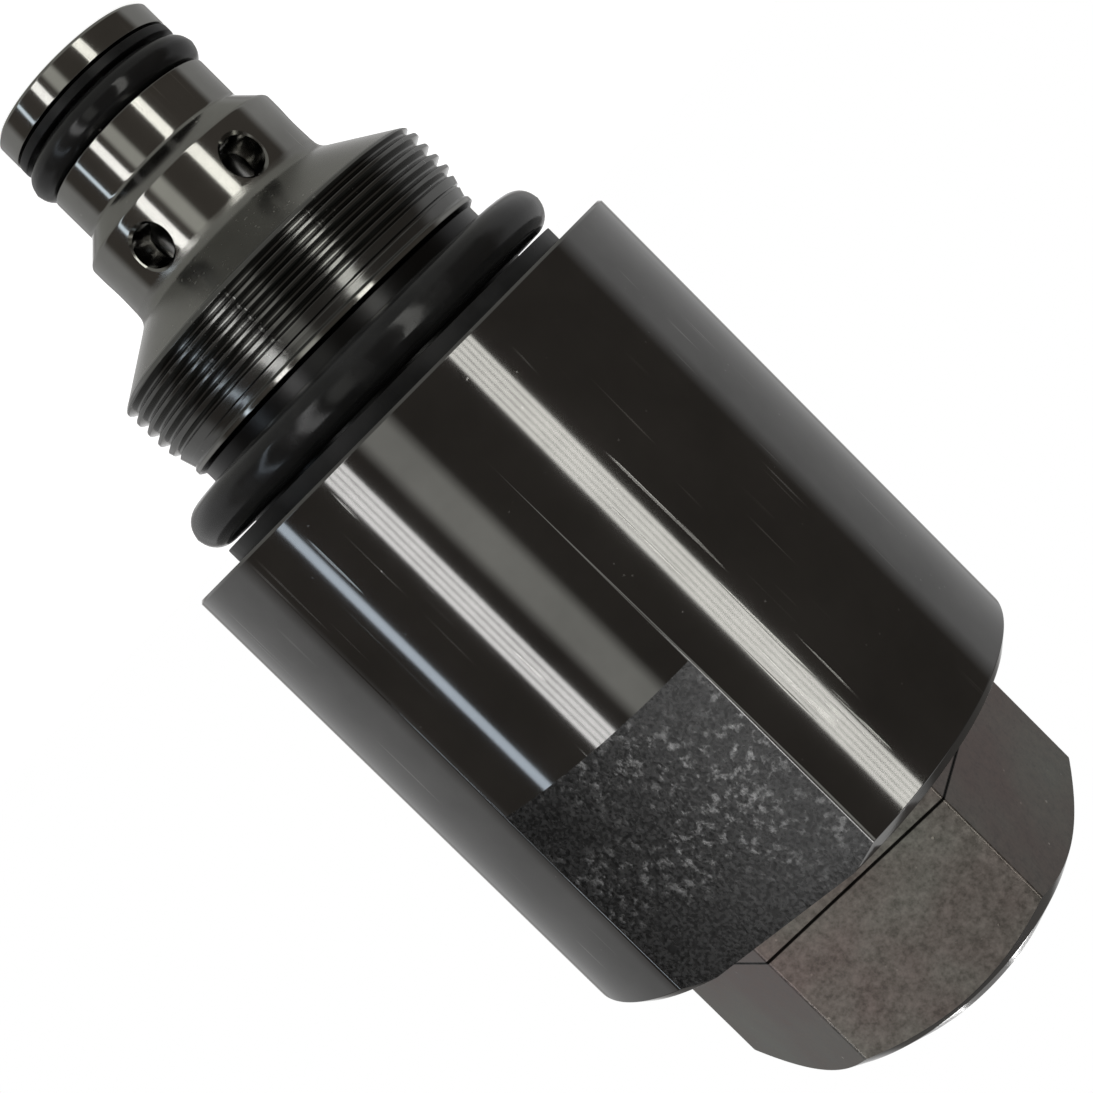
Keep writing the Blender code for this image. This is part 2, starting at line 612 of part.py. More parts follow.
def make_main_poppet(steel):
    cone_rear = SEAT_FACE + POPPET_STEM_RADIUS - POPPET_CONE_RADIUS
    outline = [
        (POPPET_TIP_RADIUS, POPPET_FRONT),
        (POPPET_STEM_RADIUS, cone_rear),
        (POPPET_STEM_RADIUS, POPPET_LAND - POPPET_STEM_STEP),
        (POPPET_RADIUS, POPPET_LAND),
    ]
    groove_floor = POPPET_RADIUS - POPPET_GROOVE_DEPTH
    for k in range(POPPET_GROOVES):
        front = POPPET_LAND + POPPET_GROOVE_PITCH * (k + 1)
        rear = front + POPPET_GROOVE_WIDTH
        outline += [(POPPET_RADIUS, front), (groove_floor, front)]
        outline += [(groove_floor, rear), (POPPET_RADIUS, rear)]
    passage = ORIFICE_RADIUS + FIT
    outline += [
        (POPPET_RADIUS, POPPET_REAR - FINE_EDGE),
        (POPPET_RADIUS - FINE_EDGE, POPPET_REAR),
        (POPPET_SPRING_BORE, POPPET_REAR),
        (POPPET_SPRING_BORE, POPPET_BORE_FLOOR),
        (passage, POPPET_BORE_FLOOR),
        (passage, ORIFICE_FLOOR),
        (ORIFICE_BORE_RADIUS, ORIFICE_FLOOR),
        (ORIFICE_BORE_RADIUS, POPPET_FRONT),
    ]
    turned("main_poppet", outline, steel)


def make_orifice(finishes):
    """The orifice screwed into the poppet's tip, and the screen ahead of it."""
    outer = ORIFICE_BORE_RADIUS - SLIDE_FIT
    brass = finishes["brass"]
    sleeve("orifice_screw", ORIFICE_RADIUS, outer, ORIFICE_FRONT, ORIFICE_REAR, brass)
    outline = [(0, SCREEN_FRONT), (outer, SCREEN_FRONT), (outer, SCREEN_REAR), (0, SCREEN_REAR)]
    screen = turned("orifice_screen", outline, finishes["hard_steel"])
    circle = outer - SCREEN_HOLE_RIM - SCREEN_HOLE_RADIUS
    for k in range(SCREEN_HOLES):
        turn = tau * k / SCREEN_HOLES
        low = (circle * cos(turn), circle * sin(turn), SCREEN_FRONT - FIT)
        high = (circle * cos(turn), circle * sin(turn), SCREEN_REAR + FIT)
        hole = drill_cutter(f"screen_drill_{k + 1}", SCREEN_HOLE_RADIUS, low, high)
        shape_by(screen, hole, "DIFFERENCE")


def make_pilot_seat(finishes):
    outer = PILOT_BORE_RADIUS - SLIDE_FIT
    groove_depth = FACE_SEAL_SECTION - FIT + SEAL_FIT
    half_groove = FACE_SEAL_SECTION / 2 + 0.5 * SEAL_FIT
    groove_floor = PILOT_SEAT_FRONT + groove_depth
    feed_end = PILOT_SEAT_FRONT + PILOT_FEED_DEPTH
    outline = [
        (FACE_SEAL_RADIUS - half_groove, PILOT_SEAT_FRONT),
        (FACE_SEAL_RADIUS - half_groove, groove_floor),
        (FACE_SEAL_RADIUS + half_groove, groove_floor),
        (FACE_SEAL_RADIUS + half_groove, PILOT_SEAT_FRONT),
        (outer - EDGE, PILOT_SEAT_FRONT),
        (outer, PILOT_SEAT_FRONT + EDGE),
        (outer, PILOT_SEAT_REAR),
        (PILOT_HOLE_RADIUS, PILOT_SEAT_REAR),
        (PILOT_HOLE_RADIUS, feed_end),
        (PILOT_FEED_RADIUS, feed_end),
        (PILOT_FEED_RADIUS, PILOT_SEAT_FRONT),
    ]
    seat = turned("pilot_seat", outline, finishes["hard_steel"])
    for side in (1, -1):
        near = side * (outer - PILOT_SEAT_FLAT_DEPTH)
        far = side * 2 * outer
        low = (min(near, far), -outer, PILOT_SEAT_FRONT - FIT)
        high = (max(near, far), outer, PILOT_SEAT_REAR + FIT)
        name = "drain_flat_cutter_right" if side > 0 else "drain_flat_cutter_left"
        shape_by(seat, box_cutter(name, low, high), "DIFFERENCE")
    seal_middle = PILOT_BORE_FLOOR + 0.5 * SEAL_FIT + FACE_SEAL_SECTION / 2
    outside = FACE_SEAL_RADIUS + FACE_SEAL_SECTION / 2
    seal("pilot_seat_o_ring", outside, FACE_SEAL_SECTION, seal_middle, finishes["seal_rubber"])


def make_retaining_ring(finishes):
    """An open ring, which springs into its groove behind the pilot seat."""
    outer = PILOT_BORE_RADIUS + RETAINER_DEPTH - SLIDE_FIT
    inner = outer - RETAINER_WALL
    form = bmesh.new()
    sections = []
    for k in range(SMALL_SIDES + 1):
        turn = RETAINER_OPENING / 2 + (tau - RETAINER_OPENING) * k / SMALL_SIDES
        section = []
        for radius, height in ((inner, 0), (outer, 0), (outer, 1), (inner, 1)):
            level = RETAINER_FRONT + height * RETAINER_THICKNESS
            section.append(form.verts.new((radius * cos(turn), radius * sin(turn), level)))
        sections.append(section)
    form.faces.new(sections[0])
    form.faces.new(sections[-1])
    for before, after in zip(sections, sections[1:]):
        for k in range(4):
            beside = (k + 1) % 4
            form.faces.new((before[k], before[beside], after[beside], after[k]))
    add_object("retaining_ring", mesh_from("retaining_ring", form), finishes["spring_steel"])


def make_pilot_poppet(finishes):
    cone_at_seat = PILOT_HOLE_RADIUS - FIT
    flange = PILOT_SPRING_OUTSIDE + PILOT_FLANGE_LIP
    stud_rear = PILOT_FLANGE_REAR + PILOT_STUD_LENGTH
    cone_rear = cone_at_seat + (PILOT_FLANGE_FRONT - PILOT_SEAT_REAR) * PILOT_CONE_SLOPE
    outline = [
        (0, PILOT_SEAT_REAR - PILOT_TIP),
        (cone_at_seat - PILOT_TIP * PILOT_CONE_SLOPE, PILOT_SEAT_REAR - PILOT_TIP),
        (cone_rear, PILOT_FLANGE_FRONT),
        (flange, PILOT_FLANGE_FRONT),
        (flange, PILOT_FLANGE_REAR),
        (STUD_RADIUS, PILOT_FLANGE_REAR),
        (STUD_RADIUS, stud_rear - EDGE),
        (STUD_RADIUS - EDGE, stud_rear),
        (0, stud_rear),
    ]
    turned("pilot_poppet", outline, finishes["hard_steel"])


def make_pilot_stage(finishes):
    make_pilot_seat(finishes)
    make_retaining_ring(finishes)
    make_pilot_poppet(finishes)
    coil_spring(
        "pilot_spring",
        PILOT_SPRING_RADIUS,
        PILOT_WIRE,
        PILOT_SPRING_FRONT,
        PILOT_SPRING_REAR,
        PILOT_SPRING_PITCH,
        finishes["spring_steel"],
    )


def make_barrel(finishes):
    bore = SHANK_RADIUS + FIT
    shank_room = SHANK_LENGTH + FIT
    front_chamfer = min(BARREL_FRONT_CHAMFER, (BARREL_RADIUS - RECESS_RADIUS) / 2)
    outline = [
        (bore, RECESS_FLOOR),
        (RECESS_RADIUS, RECESS_FLOOR),
        (RECESS_RADIUS, SHOULDER_FACE),
        (BARREL_RADIUS - front_chamfer, SHOULDER_FACE),
        (BARREL_RADIUS, SHOULDER_FACE + front_chamfer),
        (BARREL_RADIUS, BARREL_REAR - BARREL_REAR_CHAMFER),
        (BARREL_RADIUS - BARREL_REAR_CHAMFER, BARREL_REAR),
        (PLUG_BORE_RADIUS, BARREL_REAR),
        (PLUG_BORE_RADIUS, PLUG_FLOOR),
        (SPRING_CHAMBER_RADIUS, PLUG_FLOOR),
        (SPRING_CHAMBER_RADIUS, shank_room),
        (bore, shank_room),
    ]
    barrel = turned("barrel", outline, finishes["dark_steel"], WIDE_SIDES)
    reach = BARREL_RADIUS + CUT_PAST
    front = BARREL_REAR - FLATS_LENGTH
    rear = BARREL_REAR + CUT_PAST
    for side in (1, -1):
        near = side * (BARREL_RADIUS - FLAT_DEPTH)
        far = side * reach
        low = (-reach, min(near, far), front)
        high = (reach, max(near, far), rear)
        name = "flat_cutter_back" if side > 0 else "flat_cutter_front"
        shape_by(barrel, box_cutter(name, low, high), "DIFFERENCE")


def make_adjuster(finishes):
    steel = finishes["hard_steel"]
    shim_hole = STUD_RADIUS + SLIDE_FIT
    sleeve("spring_shim", shim_hole, PILOT_SPRING_OUTSIDE, SHIM_FRONT, SHIM_REAR, steel)
    stud_front = BUTTON_FRONT - BUTTON_STUD_LENGTH
    flange = HEAD_BORE_RADIUS - BUTTON_ROOM
    button = [
        (0, stud_front),
        (STUD_RADIUS - EDGE, stud_front),
        (STUD_RADIUS, stud_front + EDGE),
        (STUD_RADIUS, BUTTON_FRONT),
        (flange, BUTTON_FRONT),
        (flange, BUTTON_REAR),
        (0, BUTTON_REAR),
    ]
    turned("spring_button", button, steel)

    head = HEAD_BORE_RADIUS - SLIDE_FIT
    floor = head - SCREW_SEAL_SECTION - SEAL_FIT
    groove_front = SCREW_FRONT + SCREW_HEAD_LIP
    seal_front = groove_front + SEAL_FIT
    backup_front = seal_front + SCREW_SEAL_SECTION + SEAL_FIT
    backup_rear = backup_front + SCREW_BACKUP_THICKNESS
    groove_rear = backup_rear + SEAL_FIT
    head_rear = groove_rear + SCREW_HEAD_REAR_LIP
    screw = [
        (0, SCREW_FRONT),
        (head - EDGE, SCREW_FRONT),
        (head, SCREW_FRONT + EDGE),
        (head, groove_front),
        (floor, groove_front),
        (floor, groove_rear),
        (head, groove_rear),
        (head, head_rear),
        (SCREW_RADIUS, head_rear),
        (SCREW_RADIUS, SCREW_REAR - EDGE),
        (SCREW_RADIUS - EDGE, SCREW_REAR),
        (0, SCREW_REAR),
    ]
    adjuster = turned("adjusting_screw", screw, steel)
    socket_floor = SCREW_REAR - SOCKET_DEPTH
    socket = hex_cutter("socket_cutter", SOCKET_ACROSS, socket_floor, SCREW_REAR + FIT, 0)
    shape_by(adjuster, socket, "DIFFERENCE")
    middle = seal_front + SCREW_SEAL_SECTION / 2
    seal("adjuster_o_ring", head, SCREW_SEAL_SECTION, middle, finishes["seal_rubber"])
    inner = head - SCREW_SEAL_SECTION
    sleeve(
        "adjuster_backup_ring", inner, head, backup_front, backup_rear, finishes["backup_plastic"]
    )


def make_end_plug(finishes):
    shank = PLUG_BORE_RADIUS - FIT
    floor = shank - PLUG_SEAL_SECTION - 0.5 * SEAL_FIT
    groove_rear = BARREL_REAR - PLUG_SEAL_INSET
    groove_front = groove_rear - PLUG_SEAL_SECTION - 2 * SEAL_FIT
    thread_hole = SCREW_RADIUS + SLIDE_FIT
    outline = [
        (shank - EDGE, PLUG_FRONT),
        (shank, PLUG_FRONT + EDGE),
        (shank, groove_front),
        (floor, groove_front),
        (floor, groove_rear),
        (shank, groove_rear),
        (shank, COLLAR_FACE),
        (HEX_CORNER + CUT_PAST, COLLAR_FACE),
        (HEX_CORNER + CUT_PAST, COLLAR_REAR),
        (BOSS_RADIUS, COLLAR_REAR),
        (BOSS_RADIUS, BOSS_REAR - EDGE),
        (BOSS_RADIUS - EDGE, BOSS_REAR),
        (thread_hole, BOSS_REAR),
        (thread_hole, HEAD_BORE_END),
        (HEAD_BORE_RADIUS, HEAD_BORE_END),
        (HEAD_BORE_RADIUS, PLUG_FRONT),
    ]
    plug = turned("end_plug", outline, finishes["cap_steel"], WIDE_SIDES)
    low = PLUG_FRONT - CUT_PAST
    hexagon = hex_cutter("plug_hexagon", HEX_ACROSS, low, BOSS_REAR + CUT_PAST, HEX_TURN)
    shape_by(plug, hexagon, "INTERSECT")
    middle = (groove_front + groove_rear) / 2
    outside = shank + 0.5 * SEAL_FIT
    seal("end_plug_o_ring", outside, PLUG_SEAL_SECTION, middle, finishes["seal_rubber"])


def make_lock(finishes):
    hole = SCREW_RADIUS + SLIDE_FIT
    washer = LOCK_NUT_ACROSS / 2 + LOCK_WASHER_LIP
    aluminium = finishes["soft_aluminium"]
    sleeve("lock_washer", hole, washer, LOCK_WASHER_FRONT, LOCK_WASHER_REAR, aluminium)
    corner = LOCK_NUT_ACROSS / sqrt(3)
    rim = LOCK_NUT_ACROSS / 2 - LOCK_NUT_RIM_INSET
    outline = [
        (hole, LOCK_NUT_FRONT),
        (rim, LOCK_NUT_FRONT),
        (corner, LOCK_NUT_FRONT + LOCK_NUT_CHAMFER),
        (corner, LOCK_NUT_REAR - LOCK_NUT_CHAMFER),
        (rim, LOCK_NUT_REAR),
        (hole, LOCK_NUT_REAR),
    ]
    nut = turned("lock_nut", outline, finishes["hard_steel"])
    low = LOCK_NUT_FRONT - CUT_PAST
    high = LOCK_NUT_REAR + CUT_PAST
    hexagon = hex_cutter("lock_nut_hexagon", LOCK_NUT_ACROSS, low, high, HEX_TURN)
    shape_by(nut, hexagon, "INTERSECT")


def make_cap(finishes):
    seal_outer = CAP_SEAL_RADIUS + CAP_SEAL_WALL
    seal_front = COLLAR_REAR + FIT
    seal_rear = seal_front + CAP_SEAL_THICKNESS
    aluminium = finishes["soft_aluminium"]
    sleeve("cap_seal", CAP_SEAL_RADIUS, seal_outer, seal_front, seal_rear, aluminium)
    edge = CAP_TOP - CAP_EDGE_DROP
    top_radius = HEX_ACROSS / 2 - CAP_TOP_STEP
    thread_hole = BOSS_RADIUS + FIT
    thread_rear = BOSS_REAR + FIT
    recess_rear = seal_rear + FIT
    outline = [
        (CAP_RECESS_RADIUS, CAP_MOUTH),
        (HEX_CORNER, CAP_MOUTH),
        (HEX_CORNER, edge),
        (top_radius, CAP_TOP - CAP_CROWN),
        (top_radius - CAP_CROWN_WIDTH, CAP_TOP),
        (0, CAP_TOP),
        (0, CAP_ROOM_TOP),
        (CAP_ROOM_RADIUS - CAP_ROOF_STEP, CAP_ROOM_TOP),
        (CAP_ROOM_RADIUS, CAP_ROOM_TOP - CAP_ROOF_CONE),
        (CAP_ROOM_RADIUS, thread_rear),
        (thread_hole, thread_rear),
        (thread_hole, recess_rear),
        (CAP_RECESS_RADIUS, recess_rear),
    ]
    cap = turned("cap_nut", outline, finishes["cap_steel"], WIDE_SIDES)
    low = CAP_MOUTH - CUT_PAST
    hexagon = hex_cutter("cap_hexagon", HEX_ACROSS, low, CAP_TOP + CUT_PAST, HEX_TURN)
    shape_by(cap, hexagon, "INTERSECT")


def main():
    clear_scene()
    finishes = make_finishes()
    make_cage(finishes)
    make_outer_seals(finishes)
    make_main_stage(finishes)
    make_pilot_stage(finishes)
    make_barrel(finishes)
    make_adjuster(finishes)
    make_end_plug(finishes)
    make_lock(finishes)
    make_cap(finishes)


main()
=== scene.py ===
"""The finished look of a screw-in hydraulic relief cartridge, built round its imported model.

Laid out as an add-on: each operator makes one piece or one group of like pieces, and the panel
lists them in the order in which main() calls them. Outlines are in millimetres, in the frame of the
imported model: the axis is Z, the nose points to -Z, and zero is the barrel's seating face.
"""

from math import cos, pi, radians, sin, sqrt, tan, tau

import bmesh
import bpy
from bpy.props import FloatProperty, FloatVectorProperty, IntProperty, PointerProperty
from mathutils import Matrix, Vector


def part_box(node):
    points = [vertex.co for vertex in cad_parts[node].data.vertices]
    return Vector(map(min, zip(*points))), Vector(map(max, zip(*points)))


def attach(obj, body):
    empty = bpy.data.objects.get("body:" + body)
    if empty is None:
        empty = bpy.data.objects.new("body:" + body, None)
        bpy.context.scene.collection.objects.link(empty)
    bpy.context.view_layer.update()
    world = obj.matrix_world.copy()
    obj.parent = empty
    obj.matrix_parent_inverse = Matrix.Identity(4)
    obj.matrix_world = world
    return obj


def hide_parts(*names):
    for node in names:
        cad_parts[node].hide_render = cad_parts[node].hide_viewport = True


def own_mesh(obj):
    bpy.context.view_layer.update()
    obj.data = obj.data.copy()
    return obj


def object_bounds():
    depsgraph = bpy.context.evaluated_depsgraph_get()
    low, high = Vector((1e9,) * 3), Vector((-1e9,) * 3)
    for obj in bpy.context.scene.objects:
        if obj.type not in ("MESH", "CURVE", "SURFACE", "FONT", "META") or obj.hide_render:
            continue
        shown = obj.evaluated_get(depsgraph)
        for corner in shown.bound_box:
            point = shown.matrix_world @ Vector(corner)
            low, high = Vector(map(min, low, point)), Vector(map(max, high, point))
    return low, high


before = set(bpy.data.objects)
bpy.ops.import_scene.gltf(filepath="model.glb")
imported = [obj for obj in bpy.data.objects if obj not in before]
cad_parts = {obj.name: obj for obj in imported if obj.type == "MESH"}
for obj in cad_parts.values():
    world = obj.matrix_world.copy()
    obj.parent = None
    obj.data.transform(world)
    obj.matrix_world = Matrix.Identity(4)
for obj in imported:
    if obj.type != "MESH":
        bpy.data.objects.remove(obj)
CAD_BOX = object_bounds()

bl_info = {
    "name": "Relief cartridge",
    "version": (1, 0, 0),
    "blender": (4, 5, 0),
    "location": "View3D > Sidebar > Cartridge",
    "description": "Makes the pieces and the studio of a screw-in relief cartridge",
    "category": "Object",
}

MM = 0.001

# Around the axis: the hexagons' first corner, the cross holes and the camera
HEX_TURN = radians(45)
HOLE_TURN = radians(39)
CAMERA_TURN = radians(249)
FLAT_SIDE = 18.0
SHARP_ANGLE = radians(32)

# Points that a rounded corner is drawn with, less one
FILLET_STEPS = 4

# Hexagon across its flats, on the collar of the end plug and on the cap, in millimetres
HEX_ACROSS = 27.0

# The cage's drillings, in millimetres: radius, and height or distance from the axis
CROSS_HOLE_RADIUS = 1.55
CROSS_HOLE_HEIGHT = -18.6
DRAIN_HOLE_RADIUS = 0.55
DRAIN_HOLE_REACH = 7.1

# Travel of the poppets and of the adjusting screw, in millimetres
PILOT_LIFT = 0.8
SCREW_TRAVEL = 2.0


# ---------------------------------------------------------------- settings


class CartridgeSizes(bpy.types.PropertyGroup):
    """Sizes of the fine detail"""

    thread_pitch: FloatProperty(
        name="Thread pitch", description="Rise of the cavity thread in one turn, in millimetres",
        default=1.0, min=0.3, max=3.0,
    )
    thread_root: FloatProperty(
        name="Thread root", description="Radius at the bottom of the cavity thread, in millimetres",
        default=13.42, min=10.0, max=14.0,
    )
    thread_depth: FloatProperty(
        name="Thread depth", description="Height of the thread's ridge, in millimetres",
        default=0.62, min=0.1, max=1.5,
    )
    countersink: FloatProperty(
        name="Hole edge", description="Width of the bevel round a cross hole, in millimetres",
        default=0.22, min=0.0, max=0.6,
    )
    hex_edge: FloatProperty(
        name="Hexagon edge", description="Rounding of the hexagons' long edges, in millimetres",
        default=0.3, min=0.05, max=1.0,
    )
    flash: FloatProperty(
        name="Seal flash", description="Height of the moulding line round a seal, in millimetres",
        default=0.03, min=0.0, max=0.1,
    )
    sides: IntProperty(
        name="Sides", description="Number of sides of the turned pieces", default=240, min=24, max=512,
    )


def colour(name, description, default):
    return FloatVectorProperty(
        name=name, description=description, default=default, subtype="COLOR", size=3, min=0.0, max=1.0
    )


class CartridgeFinishes(bpy.types.PropertyGroup):
    """Colours and polish of the finishes"""

    barrel: colour("Barrel", "Polished dark plating of the barrel", (0.17, 0.168, 0.165))
    flats: colour("Wrench flats", "Milled flats of the barrel", (0.040, 0.040, 0.040))
    cage: colour("Cage", "Polished steel of the cage", (0.29, 0.287, 0.27))
    # Painted shade: the thread's colour is darkened all over, standing in for the shade in its grooves
    thread: colour("Thread", "Painted groove shade of the cavity thread", (0.15, 0.15, 0.145))
    # Painted shade: the steel between the thread and the barrel is made nearly black, standing in for
    # the shade in the recess under the shoulder seal
    neck_shade: colour("Neck", "Painted shade on the steel between the thread and the barrel", (0.03, 0.03, 0.03))
    cap: colour("Cap", "Grained plating of the cap and the plug", (0.215, 0.212, 0.192))
    hard: colour("Hardened steel", "Ground steel of the inner parts", (0.42, 0.415, 0.40))
    spring: colour("Spring wire", "Drawn and tempered wire", (0.24, 0.225, 0.20))
    brass: colour("Brass", "Orifice screw", (0.70, 0.50, 0.20))
    aluminium: colour("Aluminium", "Soft sealing washers", (0.72, 0.72, 0.72))
    rubber: colour("Rubber", "O-rings", (0.006, 0.006, 0.006))
    dome: colour("Dome", "Turned and polished end of the cap", (0.11, 0.11, 0.108))
    plastic: colour("Plastic", "Backup rings", (0.008, 0.008, 0.008))
    polish: FloatProperty(
        name="Polish", description="Roughness of the barrel's polished side",
        default=0.075, min=0.0, max=1.0, subtype="FACTOR",
    )


class CartridgeStage(bpy.types.PropertyGroup):
    """Floor and lights"""

    floor: colour("Floor", "Colour of the floor", (0.88, 0.88, 0.88))
    strip_light: FloatProperty(
        name="Strip lights", description="Brightness of the rows of long tubes", default=3.5, min=0.0,
    )
    room_light: FloatProperty(
        name="Room light", description="Brightness of the walls round the table", default=1.0, min=0.0,
    )


# ---------------------------------------------------------------- node trees


class Tree:
    """Adds nodes to a node tree, with their inputs given as values or as other nodes' outputs."""

    def __init__(self, tree):
        self.tree = tree

    def join(self, value, socket):
        if isinstance(value, bpy.types.NodeSocket):
            self.tree.links.new(value, socket)
        else:
            socket.default_value = value

    def add(self, kind, inputs=None, output=0, **settings):
        node = self.tree.nodes.new(kind)
        for key, value in settings.items():
            setattr(node, key, value)
        for key, value in (inputs or {}).items():
            self.join(value, node.inputs[key])
        return node.outputs[output]

    def math(self, operation, *values, clamp=False):
        return self.add(
            "ShaderNodeMath", dict(enumerate(values)), operation=operation, use_clamp=clamp
        )

    def ramp(self, value, low, high, to_low=0.0, to_high=1.0):
        """value, from to_low at low to to_high at high, held beyond them."""
        inputs = {"Value": value, "From Min": low, "From Max": high, "To Min": to_low}
        return self.add("ShaderNodeMapRange", {**inputs, "To Max": to_high}, clamp=True)

    def blend(self, share, first, second):
        inputs = {0: share, 6: first, 7: second}
        return self.add("ShaderNodeMix", inputs, output=2, data_type="RGBA")

    def scaled(self, color, share):
        inputs = {0: color if hasattr(color, "node") else color[:3], "Scale": share}
        return self.add("ShaderNodeVectorMath", inputs, operation="SCALE")

    def stretched(self, place, scale, turn=(0, 0, 0)):
        inputs = {"Vector": place, "Rotation": turn, "Scale": scale}
        return self.add("ShaderNodeMapping", inputs)

    def noise(self, place, scale, detail=2.0, rough=0.5):
        inputs = {"Vector": place, "Scale": scale, "Detail": detail, "Roughness": rough}
        return self.add("ShaderNodeTexNoise", inputs)


def rgba(color, share=1.0):
    return (*(c * share for c in color), 1.0)


def blank_finish(name):
    """A material with its Principled shader, and the place on the piece to pattern it by."""
    material = bpy.data.materials.new(name)
    material.use_nodes = True
    tree = Tree(material.node_tree)
    shader = material.node_tree.nodes["Principled BSDF"]
    place = tree.add("ShaderNodeTexCoord", output="Object")
    return material, tree, shader, place


def dress(tree, shader, color, metallic, roughness, height, depth):
    tree.join(color, shader.inputs["Base Color"])
    tree.join(roughness, shader.inputs["Roughness"])
    shader.inputs["Metallic"].default_value = metallic
    bump = {"Strength": 1.0, "Distance": depth, "Height": height}
    tree.join(tree.add("ShaderNodeBump", bump), shader.inputs["Normal"])


def scratches(tree, place, lean, seed):
    """Sparse fine lines that lean to one side, from 0 off a line to 1 on it."""
    moved = tree.stretched(place, (2600, 2600, 60), (radians(lean), radians(seed * 31), 0))
    line = tree.noise(moved, 1.0, 1.0)
    patch = tree.noise(place, 90 + 17 * seed, 1.0)
    return tree.math("MULTIPLY", tree.ramp(line, 0.70, 0.74), tree.ramp(patch, 0.52, 0.62))


def specks(tree, place, scale, share):
    """Small round spots in a share of the cells."""
    cell = tree.add(
        "ShaderNodeTexVoronoi", {"Vector": place, "Scale": scale}, output="Distance"
    )
    pick = tree.noise(place, scale * 0.37, 1.0)
    return tree.math(
        "MULTIPLY", tree.ramp(cell, 0.10, 0.18, 1.0, 0.0), tree.ramp(pick, 1 - share, 1.02 - share)
    )


def turned_finish(name, color, roughness, rings=1.0, depth=1.2e-6, bands=()):
    """Turned and polished metal: tool rings round the axis, haze, fine scratches and specks.

    Each of the bands is its two heights, its own colour or a painted shade, and how much rougher it
    is.
    """
    material, tree, shader, place = blank_finish(name)
    ring = tree.noise(tree.stretched(place, (40, 40, 7000)), 1.0, 3.0)
    fine = tree.noise(tree.stretched(place, (90, 90, 22000)), 1.0, 1.0)
    haze = tree.noise(place, 130, 4.0, 0.6)
    lines = tree.math(
        "ADD", scratches(tree, place, 12, 1), scratches(tree, place, -38, 2), clamp=True
    )
    spots = specks(tree, place, 1900, 0.33)
    shade = tree.ramp(haze, 0.30, 0.72, 0.86, 1.10)
    shade = tree.math("MULTIPLY_ADD", lines, 0.8, shade)
    shade = tree.math("MULTIPLY_ADD", spots, 0.5, shade)
    base = rgba(color)
    rough = tree.math("MULTIPLY_ADD", haze, 0.05, roughness - 0.02)
    rough = tree.math("MULTIPLY_ADD", lines, 0.16, rough)
    rough = tree.math("MULTIPLY_ADD", spots, 0.12, rough)
    for low, high, band_color_or_shade, rougher in bands:
        height = tree.add("ShaderNodeSeparateXYZ", {"Vector": place}, output="Z")
        inside = tree.math(
            "MULTIPLY",
            tree.ramp(height, (low - 0.2) * MM, low * MM),
            tree.ramp(height, high * MM, (high + 0.2) * MM, 1.0, 0.0),
        )
        base = tree.blend(inside, base, rgba(band_color_or_shade))
        rough = tree.math("MULTIPLY_ADD", inside, rougher, rough)
    tinted = tree.scaled(base, shade)
    height = tree.math("MULTIPLY_ADD", ring, rings, tree.math("MULTIPLY", fine, 0.35 * rings))
    height = tree.math("MULTIPLY_ADD", lines, -1.6, height)
    height = tree.math("MULTIPLY_ADD", spots, -1.2, height)
    dress(tree, shader, tinted, 1.0, rough, height, depth)
    return material


def grained_finish(name, color, roughness, tint, grain, sparkle, seam_shadow):
    """Blasted and plated metal: fine grain, pale sparkling specks and a faint cloudy tint.

    A painted shadow darkens it between the two given heights, in the gap between the plug's collar and
    the cap.
    """
    material, tree, shader, place = blank_finish(name)
    coarse = tree.noise(place, 1500, 3.0, 0.6)
    fine = tree.noise(place, 4200, 2.0, 0.6)
    cloud = tree.noise(place, 75, 3.0, 0.55)
    spots = specks(tree, place, 1500, 0.30 + 0.22 * sparkle)
    mixed = tree.math("ADD", tree.math("MULTIPLY", coarse, 0.6), tree.math("MULTIPLY", fine, 0.4))
    shade = tree.ramp(mixed, 0.36, 0.64, 0.66, 1.34)
    shade = tree.math("MULTIPLY_ADD", spots, 2.2 * sparkle, shade)
    base = tree.blend(tree.ramp(cloud, 0.40, 0.62), rgba(color), rgba(tint))
    # Painted shadow: the colour falls to 6 % in the band round the gap between the plug and the cap
    level = tree.add("ShaderNodeSeparateXYZ", {"Vector": place}, output="Z")
    middle = (seam_shadow[0] + seam_shadow[1]) / 2 * MM
    off = tree.math("ABSOLUTE", tree.math("SUBTRACT", level, middle))
    reach = (seam_shadow[1] - seam_shadow[0]) / 2 * MM
    shade = tree.math("MULTIPLY", shade, tree.ramp(off, reach, reach * 1.5, 0.06, 1.0))
    tinted = tree.scaled(base, shade)
    rough = tree.ramp(mixed, 0.35, 0.65, roughness - 0.10, roughness + 0.12)
    rough = tree.math("MULTIPLY_ADD", spots, -0.15, rough)
    height = tree.math("MULTIPLY_ADD", spots, 0.5, mixed)
    dress(tree, shader, tinted, 1.0, rough, height, 9e-6 * grain)
    return material


def flecked_finish(name, color, roughness):
    """Milled and blackened metal, rubbed bright in small crooked flecks."""
    material, tree, shader, place = blank_finish(name)
    crooked = tree.noise(place, 1650, 3.0, 0.62)
    fine = tree.noise(place, 3600, 2.0, 0.6)
    patch = tree.noise(place, 130, 2.0)
    fleck = tree.math("MULTIPLY", tree.ramp(crooked, 0.53, 0.68), tree.ramp(patch, 0.36, 0.62))
    shade = tree.math("MULTIPLY_ADD", fleck, 3.0, tree.ramp(fine, 0.32, 0.68, 0.50, 1.30))
    rough = tree.math("MULTIPLY_ADD", fine, 0.2, roughness - 0.1)
    height = tree.math("MULTIPLY_ADD", fleck, 0.6, fine)
    dress(tree, shader, tree.scaled(rgba(color), shade), 1.0, rough, height, 1.2e-5)
    return material


